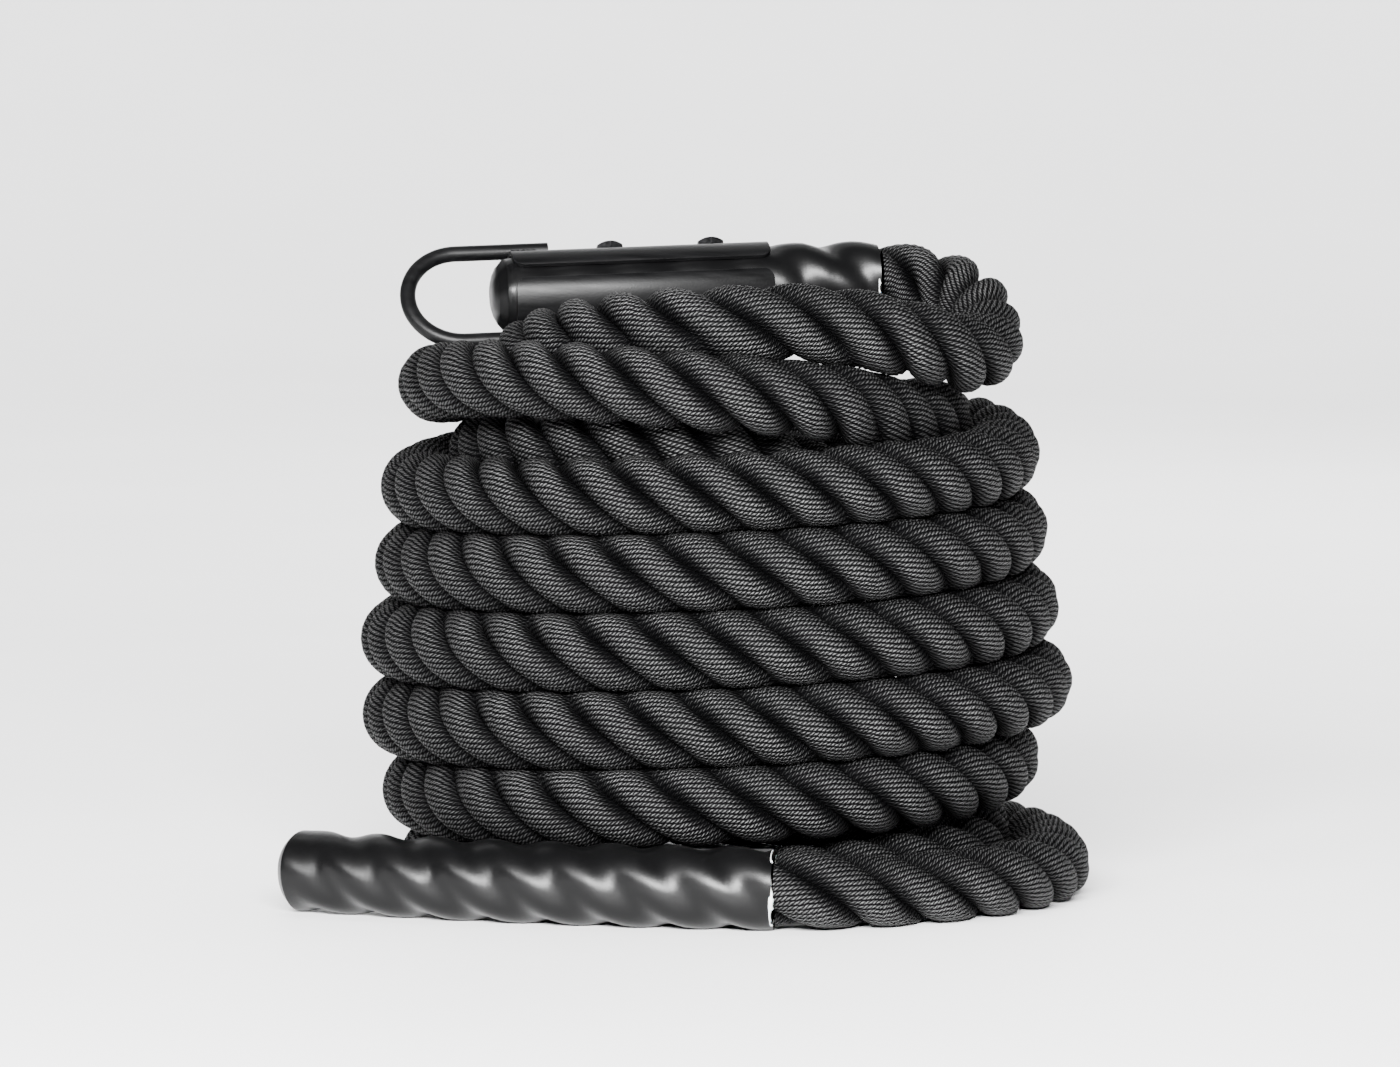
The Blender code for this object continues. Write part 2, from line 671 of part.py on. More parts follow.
def make_bail(parent):
    """The bar with its four weld runs, which keep the plates' curve as their underside."""
    bail = tube("bail", bail_points(), BAIL_ROD_RADIUS, 3, parts, parent)
    bail = to_mesh_object(bail, parts)
    x = PLATE_START + BAIL_LEG_ON_PLATE / 3
    height = PLATE_OUTER_RADIUS + SEAT + WELD_HALF_HEIGHT / 2
    for number in range(4):
        side = -1 if number % 2 else 1
        level = -1 if number // 2 else 1
        place = (x, side * WELD_OFFSET, level * height)
        boolean(bail, weld_run(f"weld_{number}", place, parent), "UNION")
    start, end = PLATE_START - WELD_HALF_LENGTH, PLATE_START + BAIL_LEG_ON_PLATE + OVERRUN
    bed_radius = PLATE_OUTER_RADIUS + SEAT
    bed = cylinder("plate_bed", bed_radius, start, end, 0, BED_SIDES, cutters, parent)
    bed.data.transform(Matrix.Rotation(math.pi / 2, 4, "Y"))
    boolean(bail, as_cutter(bed))
    finish(bail, steel_black)


def make_fitting(parent):
    fitting = new_empty("fitting_frame", parent, fitting_matrix())
    clamp = new_empty("clamp_frame", fitting, Matrix.Rotation(-CLAMP_LEAN, 4, "X"))
    reach = PLATE_OUTER_RADIUS + OVERRUN
    holes = []
    for side, x in bolt_places().items():
        name = f"bolt_hole_{side}"
        hole = cylinder(name, BOLT_HOLE_RADIUS, -reach, reach, x, BOLT_SIDES, cutters, clamp)
        holes.append(as_cutter(hole))
    make_hook_sleeve(fitting, holes)
    make_plate("clamp_plate_upper", clamp, 0, holes)
    make_plate("clamp_plate_lower", clamp, math.pi, holes)
    for side, x in bolt_places().items():
        make_bolt(f"bolt_{side}", x, clamp)
        make_nut(f"nut_{side}", x, clamp)
    make_bail(clamp)


def centre_on_footprint(base):
    """Moves the whole part so that the middle of its footprint is the origin."""
    bpy.context.view_layer.update()
    graph = bpy.context.evaluated_depsgraph_get()
    corners = []
    for obj in parts.objects:
        if obj.type == "EMPTY":
            continue
        solid = obj.evaluated_get(graph)
        mesh = solid.to_mesh()
        corners += [solid.matrix_world @ vert.co for vert in mesh.vertices]
        solid.to_mesh_clear()
    spread = np.array(corners)
    middle = (spread.min(axis=0) + spread.max(axis=0)) / 2
    base.location = (-middle[0], -middle[1], 0)
    print("coil axis at", tuple(round(float(value), 6) for value in base.location))


clear_scene()
parts = new_collection("sled_pulling_rope")
cutters = new_collection("cutters")
rope_black = new_material("rope_black", (0.022, 0.022, 0.024), 0.85, 0.0)
sleeve_black = new_material("sleeve_black", (0.012, 0.012, 0.013), 0.28, 0.0)
steel_black = new_material("steel_black", (0.02, 0.02, 0.021), 0.38, 0.0)
steel_dark = new_material("steel_dark", (0.05, 0.05, 0.052), 0.35, 1.0)
glue_white = new_material("glue_white", (0.78, 0.78, 0.76), 0.45, 0.0)

print_gaps()
coil_axis = new_empty("coil_axis", None, Matrix.Identity(4))
make_rope(coil_axis)
make_handle(coil_axis)
make_fitting(coil_axis)
centre_on_footprint(coil_axis)
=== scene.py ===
"""Looks of a sled pulling rope: twisted strands, shrunk sleeves, clamp, bail, light and camera."""

import math

import bmesh
import bpy
import numpy as np
from mathutils import Matrix, Vector, noise


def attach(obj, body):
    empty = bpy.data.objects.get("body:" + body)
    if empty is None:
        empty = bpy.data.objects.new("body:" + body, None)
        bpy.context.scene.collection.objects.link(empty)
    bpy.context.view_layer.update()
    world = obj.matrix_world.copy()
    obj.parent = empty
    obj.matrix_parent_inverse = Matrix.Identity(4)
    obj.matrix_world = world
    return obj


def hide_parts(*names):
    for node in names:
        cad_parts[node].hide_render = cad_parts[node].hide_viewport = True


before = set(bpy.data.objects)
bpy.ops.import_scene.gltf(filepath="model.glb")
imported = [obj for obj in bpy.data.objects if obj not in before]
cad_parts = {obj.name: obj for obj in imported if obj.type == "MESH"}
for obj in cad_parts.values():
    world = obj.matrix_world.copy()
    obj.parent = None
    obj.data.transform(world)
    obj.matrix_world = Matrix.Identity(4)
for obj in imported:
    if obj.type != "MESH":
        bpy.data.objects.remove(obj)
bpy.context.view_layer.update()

# Camera: a long lens in front of the coil, a little above it and looking slightly down
COIL_AXIS = Vector((0.014574, 0.002348, 0.0))
CAMERA_FROM_AXIS = Vector((-0.0058, -4.3, 0.515))
CAMERA_DOWN = math.radians(4.462)
PHOTO_WIDTH_PIXELS = 1400
FOCAL_PIXELS = 8501
SENSOR_MM = 36

# Light: each softbox's name, place, target, size and power, and whether glossy pieces mirror it
COIL_MIDDLE = (0, 0, 0.17)
SOFTBOXES = (
    ("key", (-0.25, -3.1, 1.35), COIL_MIDDLE, (1.9, 0.8), 930, True),
    ("side", (-1.95, -2.55, 1.35), COIL_MIDDLE, (1.0, 0.75), 110, True),
    ("back", (1.2, 2.6, 1.7), COIL_MIDDLE, (1.5, 1.0), 90, False),
    ("top", (0.1, 0.3, 2.4), COIL_MIDDLE, (2.2, 1.2), 60, False),
    ("backdrop", (0, 2.8, 4.6), (0, 7.5, 1.2), (7, 1), 930, True),
)
WORLD_STRENGTH = 0.05

# Floor, which turns up into a wall behind
FLOOR_SIZE = 14
FLOOR_CENTRE = (0, 1, 0)
WALL_HEIGHT = 7
WALL_CURVE = 4

# Rope
ROPE_DIAMETER = 0.038
ROPE_RADIUS = ROPE_DIAMETER / 2
SLEEVE_LAY_LENGTH = 0.092
COIL_LAY_LENGTH = 0.084
LAY_CHANGE = 0.05
STRANDS = 3
STRAND_OFFSET = 0.01
STRAND_HALF_THICK = 0.0096
STRAND_HALF_WIDE = 0.0114
STRAND_V_STEP = 0.06
STRAND_STEPS = 11
RING_STEP = 0.004
FIRST_STRAND = math.radians(20)
# (Place along the rope, how far the strands run ahead of an even lay there), two or three
# for each run that lies in front
STRAND_SHIFTS = (
    (0.255, 0.0), (0.29, 0.006), (0.35, 0.019),
    (1.2, 0.024), (1.35, 0.026),
    (2.06, 0.026), (2.26, 0.04),
    (3.02, 0.046), (3.22, 0.049),
    (4.0, 0.055), (4.2, 0.062),
    (4.96, 0.074), (5.16, 0.082),
    (5.91, 0.076), (6.11, 0.071),
    (6.84, 0.077), (7.04, 0.082),
    (7.6, 0.076), (7.68, 0.067), (7.76, 0.074),
    (8.24, 0.075), (8.31, 0.078), (8.4, 0.091),
)
STRAND_CREASE = math.radians(55)
GROOVE_HALVINGS = 40

# The strands' thickness wavers a little: (pace along the rope, shift from strand to strand)
PLUMP = 0.008
PLUMP_WAVES = ((41, 2.1), (97, 1.3))

# The rope is narrower in a sleeve, from just inside its mouth, and flat where it lies on the floor
SLEEVED_SHARE = 0.935
SLEEVE_SQUEEZE = (-0.006, -0.001)
FLAT_HEIGHT = 0.0002
PRESS_HEIGHT = 0.006

# Turns that lie close, one above the other, are pressed together
SAME_RUN = 0.15
NEXT_TURN_RISE = 0.5
NO_TURN = 1.0
LEAST_FACING = 0.01
PRESS_REACH = 0.0206
PRESS_FADE = 0.0007
PRESS_BAND_POWER = 12

# Coil, on the scales of the solids: radius and height of the rope's middle in turn pitches
TURN_PITCH = 0.0385
COIL_RADIUS = 0.151
FLOOR_LINE = 0.0152
TURN = 360
FLOOR_TURN_SHARES = (
    (-60, 0.92, 0.0), (-40, 0.87, 0.0), (-20, 0.73, 0.0), (0, 0.51, 0.0),
    (20, 0.53, 0.0), (45, 0.62, 0.0), (90, 0.81, 0.0), (112.5, 0.6, 0.0),
    (135, 0.03, 0.0), (157.5, -0.28, 0.0), (180, -0.33, 0.0), (225, -0.4, 0.0),
    (270, -0.31, 0.0), (315, -0.26, 0.11),
)
STACK_HEIGHT_SHARES = (
    (0, 0.35), (45, 0.55), (90, 0.75), (135, 1.01),
    (180, 0.9), (225, 0.97), (270, 1.09), (315, 1.2),
)
STACK_BULGE_SHARES = (
    (-0.48, -0.08, -0.09, 0.0),
    (-0.1, -0.03, 0.18, 0.0),
    (0.34, 0.0, 0.2, 0.0),
    (0.16, 0.0, 0.01, 0.0),
    (0.01, -0.03, -0.07, 0.0),
)
TOP_TURN_SHARES = (
    (0, -0.1, 0.35), (45, -0.03, 0.57), (90, -0.03, 0.78), (135, -0.08, 1.05),
    (180, -0.31, 1.24), (202.5, -0.22, 1.38), (225, -0.1, 1.47), (247.5, -0.01, 1.47),
    (270, 0.03, 1.38), (292.5, -0.29, 1.21), (315, -0.71, 0.96), (360, -1.01, 0.79),
    (405, -1.04, 0.72), (450, -1.04, 0.61), (495, -1.03, 0.5), (540, -0.97, 0.38),
    (585, -0.88, 0.56), (630, -0.87, 0.63), (652.5, -1.08, 0.23), (675, -1.12, -0.16),
    (720, -1.09, -0.26), (742.5, -1.3, -0.23), (765, -1.61, -0.14), (810, -2.01, 0.27),
    (855, -2.02, 0.86), (900, -1.71, 1.14), (911, -1.55, 1.3), (922.5, -1.33, 1.57),
    (945, -1.06, 1.88), (967.5, -0.84, 2.09), (990, -0.6, 2.185), (1012.5, -0.65, 2.2),
    (1025, -0.55, 2.12),
)
LEAD_SHARES = (
    (-40, -0.27, 6.89), (-26, -0.2, 6.72), (-16.5, -0.22, 6.79), (-6, -0.33, 6.95),
    (3.5, -0.44, 7.2), (12, -0.66, 7.42),
)
START_ANGLE = -60
END_ANGLE = 3180
ROUTE_STEP_ANGLE = 1.5
END_RUN = ROPE_DIAMETER / 8
HANDLE_POINTS = 60
TAIL_POINTS = 20
LEAD_POINTS = 50
HOOK_POINTS = 50
SOFTENING_PASSES = 6

# Pull handle: a sleeve on the rope's first stretch
HANDLE_LENGTH = 0.255
HANDLE_RADIUS = 0.0205
HANDLE_MOUTH_ANGLE = -80.7
HANDLE_MOUTH_SHARE = 0.97
HANDLE_MOUTH_YAW = math.radians(-8)
HANDLE_BEND = math.radians(21)

# Hook fitting: its frame runs from the closed end of its sleeve to the mouth
HOOK_PLACE = Vector((-0.1033, 0.0067, 0.2999))
HOOK_YAW = math.radians(9.1)
HOOK_RISE = math.radians(1.8)
HOOK_SLEEVE_LENGTH = 0.19
HOOK_SLEEVE_RADIUS = 0.0199
CLAMP_LEAN = math.radians(37)

# Clamp
SEAT = 0.0003
PLATE_THICKNESS = 0.0022
PLATE_INNER_RADIUS = HOOK_SLEEVE_RADIUS + SEAT
PLATE_OUTER_RADIUS = PLATE_INNER_RADIUS + PLATE_THICKNESS
PLATE_START = 0.002
PLATE_LENGTH = 0.132
PLATE_ARC = math.radians(160)
PLATE_CORNER = 0.0055
PLATE_CORNER_STEPS = 8
PLATE_CUTS = 26
PLATE_EDGE = 0.0004
BOLT_RADIUS = 0.004
HEX_HALF_WIDTH = 0.0065
HEX_RADIUS = HEX_HALF_WIDTH * 2 / math.sqrt(3)
HEAD_HEIGHT = 0.0045
HEAD_CHAMFER = 0.0014
HEAD_DROP = 0.0009
HEAD_SIDES = 48
SHANK_SIDES = 24
NUT_HEIGHT = 0.0065
THREAD_SHOWING = 0.002
BOLT_SPACING = 0.052
BOLT_FROM_PLATE_END = 0.027
BAIL_ROD_RADIUS = 0.004
BAIL_HALF_WIDTH = PLATE_OUTER_RADIUS + SEAT + BAIL_ROD_RADIUS
BAIL_LEG_END = PLATE_START + 0.0213
BAIL_LEG_PAST_SLEEVE = 0.0243
WELD_BEADS = 5
WELD_START = 0.0028
WELD_STEP = 0.0026
WELD_RADIUS = 0.0024
WELD_SHAPE = (0.85, 1.0, 0.75)
WELD_BESIDE_LEG = 0.0033
WELD_ABOVE_PLATE = 0.0008
WELD_UNEVEN = 0.0004
WELD_UNEVEN_SCALE = 700

# Sleeves: wall, swell along the length, and how deep the grooves between the strands show through
SLEEVE_WALL = 0.0015
SLEEVE_SIDES = 60
RIM_STEPS = 5
HANDLE_RINGS = 100
HANDLE_RIM = 0.0005
HANDLE_SWELL = (
    (0.0, 1.0), (0.035, 1.0), (0.075, 0.985), (0.13, 0.99), (0.3, 0.995), (0.9, 1.0), (1.0, 0.995),
)
HOOK_RINGS = 90
HOOK_RIM = 0.003
HOOK_SWELL = (
    (-0.02, 0.93), (0.02, 0.985), (0.05, 1.0), (0.68, 1.0), (0.74, 1.05), (0.8, 1.08),
    (0.87, 1.02), (0.93, 1.05), (1.0, 1.05),
)
HANDLE_GROOVE = ((0.0, 0.0026), (1.0, 0.0026))
HOOK_GROOVE = ((0.0, 0.0008), (0.7, 0.0008), (0.78, 0.0024), (1.0, 0.0024))
GROOVE_FADE = 0.02
GROOVE_ROUNDNESS = 1.25
CAP_RING_SHARES = (0.04, 0.04, 0.05, 0.06, 0.08, 0.13, 0.2, 0.25)
HANDLE_START = 0.002
HANDLE_CAP = 0.0055
HANDLE_CAP_CURVE = 1.15
HANDLE_FLAT_SHARE = 0.7
HOOK_START = -0.0088
HOOK_CAP = 0.0065
HOOK_CAP_CURVE = 2.2
HOOK_FLAT_SHARE = 0.25
ROPE_END_GAP = 0.006
CRUMPLE = 0.0007
CRUMPLE_SUNK = 0.4
CRUMPLES_AROUND = 2
CRUMPLES_ALONG = 90

# Glue: a ring of lumps in each mouth, sunk so that only they show, and thicker at one spot
GLUE_BEAD_RADIUS = 0.001
GLUE_LEAST = 0.2
GLUE_LUMP = 0.9
GLUE_LUMPS_AROUND = 11
GLUE_SUNK = 0.0013
GLUE_SPOT_NARROWNESS = 12
HANDLE_GLUE_RADIUS = 0.0186
HANDLE_GLUE_SPOT = math.radians(100)
HANDLE_GLUE_SPOT_SIZE = 1.1
HOOK_GLUE_RADIUS = 0.0192
HOOK_GLUE_SPOT = math.radians(-130)
HOOK_GLUE_SPOT_SIZE = -0.05


# Camera and light

def add_camera():
    data = bpy.data.cameras.new("camera")
    data.sensor_width = SENSOR_MM
    data.lens = FOCAL_PIXELS / PHOTO_WIDTH_PIXELS * SENSOR_MM
    camera = bpy.data.objects.new("camera", data)
    bpy.context.scene.collection.objects.link(camera)
    camera.location = COIL_AXIS + CAMERA_FROM_AXIS
    camera.rotation_euler = (math.pi / 2 - CAMERA_DOWN, 0, 0)
    bpy.context.scene.camera = camera


def add_softbox(name, place, target, size, power, mirrored):
    data = bpy.data.lights.new(name, "AREA")
    data.shape = "RECTANGLE"
    data.size, data.size_y = size
    data.energy = power
    light = bpy.data.objects.new(name, data)
    bpy.context.scene.collection.objects.link(light)
    light.location = place
    light.visible_glossy = mirrored
    facing = Vector(target) - Vector(place)
    light.rotation_euler = facing.to_track_quat("-Z", "Y").to_euler()


def add_light():
    world = bpy.data.worlds.new("studio")
    bpy.context.scene.world = world
    world.use_nodes = True
    background = world.node_tree.nodes["Background"]
    background.inputs["Color"].default_value = (1, 1, 1, 1)
    background.inputs["Strength"].default_value = WORLD_STRENGTH
    for softbox in SOFTBOXES:
        add_softbox(*softbox)


# Shader helpers

def link(tree, value, socket):
    if isinstance(value, bpy.types.NodeSocket):
        tree.links.new(value, socket)
    else:
        socket.default_value = value


def add_node(tree, kind, inputs, **settings):
    node = tree.nodes.new(kind)
    for name, value in settings.items():
        setattr(node, name, value)
    for name, value in inputs.items():
        link(tree, value, node.inputs[name])
    return node


def calc(tree, operation, first, second=0.0):
    return add_node(tree, "ShaderNodeMath", {0: first, 1: second}, operation=operation).outputs[0]


def ramp(tree, factor, stops):
    """Grey levels at places along the factor, blended between."""
    node = add_node(tree, "ShaderNodeValToRGB", {"Fac": factor})
    elements = node.color_ramp.elements
    while len(elements) < len(stops):
        elements.new(1)
    for element, (place, colour) in zip(elements, stops):
        element.position = place
        element.color = (*colour, 1)
    return node.outputs["Color"]


def noise_value(tree, vector, scale, detail=2.0):
    inputs = {"Vector": vector, "Scale": scale, "Detail": detail}
    return add_node(tree, "ShaderNodeTexNoise", inputs).outputs["Fac"]


def new_material(name, colour, roughness, metallic=0.0):
    """A new Principled material, its tree, its shader and its Object coordinates."""
    material = bpy.data.materials.new(name)
    material.use_nodes = True
    tree = material.node_tree
    shader = tree.nodes["Principled BSDF"]
    shader.inputs["Base Color"].default_value = (*colour, 1)
    shader.inputs["Roughness"].default_value = roughness
    shader.inputs["Metallic"].default_value = metallic
    place = tree.nodes.new("ShaderNodeTexCoord").outputs["Object"]
    return material, tree, shader, place


def add_bump(tree, shader, height, distance, strength=1.0):
    inputs = {"Height": height, "Distance": distance, "Strength": strength}
    bump = add_node(tree, "ShaderNodeBump", inputs)
    tree.links.new(bump.outputs["Normal"], shader.inputs["Normal"])


def scaled(tree, vector, scale):
    inputs = {0: vector, "Scale": scale}
    return add_node(tree, "ShaderNodeVectorMath", inputs, operation="SCALE").outputs["Vector"]


def roughen(tree, shader, texture, spread, least):
    rough = calc(tree, "ADD", calc(tree, "MULTIPLY", texture, spread), least)
    tree.links.new(rough, shader.inputs["Roughness"])


def tint(tree, shader, texture, stops):
    tree.links.new(ramp(tree, texture, stops), shader.inputs["Base Color"])


# Materials: rows, flecks and reliefs in metres, scales in lumps per metre

YARN_ROW = 0.0027
YARN_ROW_SHARPNESS = 1.1
YARN_SLANT = 1.3
YARN_WANDER = 0.0022
YARN_WANDER_SCALE = 90.0
PLY_DEPTH = 0.8
FLECK_LENGTH = 0.00195
FLECK_SLANT = 1.25
YARN_PATCH_SCALE = 420.0
YARN_TONES = (
    (0.15, (0.0008, 0.0008, 0.0009)),
    (0.4, (0.0006, 0.0006, 0.0007)),
    (0.85, (0.01, 0.01, 0.0103)),
)
YARN_SHEEN = 0.85
YARN_SHEEN_CONTRAST = 1.6
YARN_RELIEF = 0.0007
# Painted light and shade across each strand: CROWN_LIGHT lightens its crown, GROOVE_SHADE paints
# shade towards its grooves
CROWN_LIGHT = 1.15
GROOVE_SHADE = 0.9
GROOVE_SHADE_FROM = 0.0165
GROOVE_SHADE_POWER = 3.0
SLEEVE_CLOUD_SCALE = 60.0
SLEEVE_GRAIN_SCALE = 420.0
SLEEVE_GRAIN_SHARE = 0.08
SLEEVE_GLOSS = 0.19
SLEEVE_RELIEF = 0.0006
RUB_STRETCH = (0.25, 6.0, 6.0)
RUB_SCALE = 60.0
COAT_SCALE = 900.0
COAT_RELIEF = 0.0001
PAINT_GLOSS = 0.12
STEEL_SPOT_SCALE = 500.0
STEEL_RELIEF = 0.0001
GLUE_GRAIN_SCALE = 350.0
GLUE_RELIEF = 0.0008
GLUE_GLOW = 0.15
FLOOR_GRAIN_SCALE = 3.0


def yarn_height(tree, uv, along, across):
    """Rows of yarn, nearly in line with the rope, each with the slanted turns of its plies."""
    wander = noise_value(tree, scaled(tree, uv, YARN_WANDER_SCALE), 1.0)
    wander = calc(tree, "MULTIPLY", calc(tree, "SUBTRACT", wander, 0.5), YARN_WANDER)
    row = calc(tree, "ADD", across, calc(tree, "MULTIPLY", along, YARN_SLANT))
    row = calc(tree, "DIVIDE", calc(tree, "ADD", row, wander), YARN_ROW)
    ridge = calc(tree, "ABSOLUTE", calc(tree, "SINE", calc(tree, "MULTIPLY", row, math.pi)))
    number = calc(tree, "FLOOR", row)
    jitter = add_node(tree, "ShaderNodeTexWhiteNoise", {"W": number}, noise_dimensions="1D")
    fleck = calc(tree, "ADD", calc(tree, "DIVIDE", along, FLECK_LENGTH), jitter.outputs["Value"])
    leaning = calc(tree, "MULTIPLY", calc(tree, "FRACT", row), FLECK_SLANT)
    fleck = calc(tree, "MULTIPLY", calc(tree, "ADD", fleck, leaning), 2 * math.pi)
    ply = calc(tree, "ADD", calc(tree, "MULTIPLY", calc(tree, "SINE", fleck), 0.5), 0.5)
    ply = calc(tree, "ADD", calc(tree, "MULTIPLY", ply, PLY_DEPTH), 1 - PLY_DEPTH)
    return calc(tree, "MULTIPLY", calc(tree, "POWER", ridge, YARN_ROW_SHARPNESS), ply)


def painted_strand_shade(tree, across):
    """Painted light and shade across a strand: lighter on its crown, painted shade towards the
    grooves beside it.
    """
    middle = calc(tree, "ADD", across, STRAND_V_STEP / 2)
    middle = calc(tree, "MODULO", middle, STRAND_V_STEP)
    middle = calc(tree, "ABSOLUTE", calc(tree, "SUBTRACT", middle, STRAND_V_STEP / 2))
    inside = calc(tree, "SMOOTH_MIN", calc(tree, "DIVIDE", middle, GROOVE_SHADE_FROM), 1.0)
    shade = calc(tree, "POWER", inside, GROOVE_SHADE_POWER)
    return calc(tree, "SUBTRACT", CROWN_LIGHT, calc(tree, "MULTIPLY", shade, GROOVE_SHADE))


def rope_material():
    """Dark yarn with a satin sheen on the rows and flecks that face the light, and painted shade
    towards the grooves between the strands.
    """
    material, tree, shader, _ = new_material("rope_yarn", (0.02, 0.02, 0.022), 0.55)
    uv = add_node(tree, "ShaderNodeUVMap", {}, uv_map="strand").outputs["UV"]
    split = add_node(tree, "ShaderNodeSeparateXYZ", {"Vector": uv})
    along, across = split.outputs["X"], split.outputs["Y"]
    height = yarn_height(tree, uv, along, across)
    patch = noise_value(tree, scaled(tree, uv, YARN_PATCH_SCALE), 1.0, 3.0)
    light = calc(tree, "MULTIPLY", height, calc(tree, "ADD", patch, 0.5))
    # The yarn's colour and sheen take painted light on each crown and painted shade towards the
    # grooves
    light = calc(tree, "MULTIPLY", light, painted_strand_shade(tree, across))
    tint(tree, shader, light, YARN_TONES)
    sheen = calc(tree, "MULTIPLY", calc(tree, "POWER", light, YARN_SHEEN_CONTRAST), YARN_SHEEN)
    tree.links.new(sheen, shader.inputs["Specular IOR Level"])
    add_bump(tree, shader, height, YARN_RELIEF)
    return material


def sleeve_material():
    """Shrunk plastic: glossy, a little uneven, with fine grain."""
    colour = (0.0012, 0.0012, 0.0013)
    material, tree, shader, place = new_material("shrunk_sleeve", colour, 0.3)
    cloud = noise_value(tree, place, SLEEVE_CLOUD_SCALE, 4.0)
    roughen(tree, shader, cloud, spread=0.2, least=0.24)
    shader.inputs["Specular IOR Level"].default_value = SLEEVE_GLOSS
    fine = noise_value(tree, place, SLEEVE_GRAIN_SCALE, 3.0)
    height = calc(tree, "ADD", cloud, calc(tree, "MULTIPLY", fine, SLEEVE_GRAIN_SHARE))
    add_bump(tree, shader, height, SLEEVE_RELIEF, 0.5)
    return material


def paint_material():
    """Satin black paint over steel, with an uneven coat and fine rubs."""
    material, tree, shader, place = new_material("satin_paint", (0.018, 0.018, 0.019), 0.4)
    stretch = add_node(tree, "ShaderNodeMapping", {"Vector": place, "Scale": RUB_STRETCH})
    rubs = noise_value(tree, stretch.outputs["Vector"], RUB_SCALE, 5.0)
    roughen(tree, shader, rubs, spread=0.22, least=0.3)
    shader.inputs["Specular IOR Level"].default_value = PAINT_GLOSS
    tint(tree, shader, rubs, ((0.3, (0.001, 0.001, 0.0011)), (0.75, (0.0028, 0.0028, 0.003))))
    add_bump(tree, shader, noise_value(tree, place, COAT_SCALE, 2.0), COAT_RELIEF, 0.5)
    return material


def steel_material():
    """Blackened steel of the bolts and nuts."""
    colour = (0.07, 0.07, 0.073)
    material, tree, shader, place = new_material("dark_steel", colour, 0.4, 0.9)
    spots = noise_value(tree, place, STEEL_SPOT_SCALE, 4.0)
    roughen(tree, shader, spots, spread=0.3, least=0.25)
    tint(tree, shader, spots, ((0.3, (0.012, 0.012, 0.013)), (0.7, (0.04, 0.04, 0.042))))
    add_bump(tree, shader, spots, STEEL_RELIEF, 0.4)
    return material


def glue_material():
    """Dull white hot-melt glue, lumpy."""
    material, tree, shader, place = new_material("white_glue", (0.75, 0.75, 0.73), 0.42)
    grain = noise_value(tree, place, GLUE_GRAIN_SCALE, 3.0)
    tint(tree, shader, grain, ((0.25, (0.5, 0.5, 0.48)), (0.6, (0.82, 0.82, 0.8))))
    shader.inputs["Subsurface Weight"].default_value = GLUE_GLOW
    add_bump(tree, shader, grain, GLUE_RELIEF, 0.7)
    return material


def floor_material():
    material, tree, shader, place = new_material("pale_floor", (0.78, 0.78, 0.785), 0.55)
    grain = noise_value(tree, place, FLOOR_GRAIN_SCALE, 4.0)
    tint(tree, shader, grain, ((0.3, (0.77, 0.77, 0.775)), (0.7, (0.8, 0.8, 0.805))))
    return material


# The rope's line, from the handle's closed end to the hook sleeve's closed end

def smooth_curve(stations, rows, wanted, end_slopes=None):
    """Values at the wanted stations, on cubic pieces through the rows with matched slopes."""
    stations, rows, wanted = (np.asarray(each, float) for each in (stations, rows, wanted))
    spans = np.diff(stations)
    rises = np.diff(rows, axis=0) / spans[:, None]
    slopes = np.empty_like(rows)
    slopes[0], slopes[-1] = rises[0], rises[-1]
    mixed = rises[:-1] * spans[1:, None] + rises[1:] * spans[:-1, None]
    slopes[1:-1] = mixed / (spans[:-1] + spans[1:])[:, None]
    if end_slopes is not None:
        slopes[0], slopes[-1] = end_slopes
    piece = np.clip(np.searchsorted(stations, wanted, side="right") - 1, 0, len(spans) - 1)
    span = spans[piece][:, None]
    t = (wanted - stations[piece])[:, None] / span
    ahead = t * t * (3 - 2 * t)
    return (
        (1 - ahead) * rows[piece]
        + ahead * rows[piece + 1]
        + t * (1 - t) ** 2 * span * slopes[piece]
        + t * t * (t - 1) * span * slopes[piece + 1]
    )


def coil_knots():
    """The knots of the floor turn, of the stacked turns, each a pitch higher, and of the top."""
    bulges = [bulge for turn in STACK_BULGE_SHARES for bulge in turn] + [TOP_TURN_SHARES[0][1]]
    turns = len(STACK_BULGE_SHARES)
    knots = list(FLOOR_TURN_SHARES)
    for turn in range(turns):
        for step, (angle, height) in enumerate(STACK_HEIGHT_SHARES):
            low, high = bulges[4 * turn + step // 2], bulges[4 * turn + (step + 1) // 2]
            knots.append((TURN * (turn + 1) + angle, (low + high) / 2, height + turn))
    return knots + [(TURN * (turns + 1) + a, out, up + turns) for a, out, up in TOP_TURN_SHARES]


def on_coil(angles, shares):
    """Points from angles in degrees and shares of the turn pitch, about the coil's axis."""
    turned = np.radians(np.asarray(angles, float))
    shares = np.asarray(shares, float)
    out = COIL_RADIUS + shares[:, 0] * TURN_PITCH
    up = FLOOR_LINE + shares[:, 1] * TURN_PITCH
    return np.column_stack([out * np.cos(turned), out * np.sin(turned), up])


def coil_route(angles):
    knots = np.array(coil_knots())
    return on_coil(angles, smooth_curve(knots[:, 0], knots[:, 1:], angles))


def unit(vector):
    return vector / np.linalg.norm(vector)


def route_between(start, start_way, end, end_way, inner, count):
    """A smooth line from one run of rope to another, past the inner points."""
    rows = np.array([start + start_way * END_RUN, *inner, end - end_way * END_RUN])
    stations = np.concatenate([[0], np.cumsum(np.linalg.norm(np.diff(rows, axis=0), axis=1))])
    curve = smooth_curve(stations, rows, np.linspace(0, stations[-1], count), (start_way, end_way))
    return np.array([start, *curve, end])


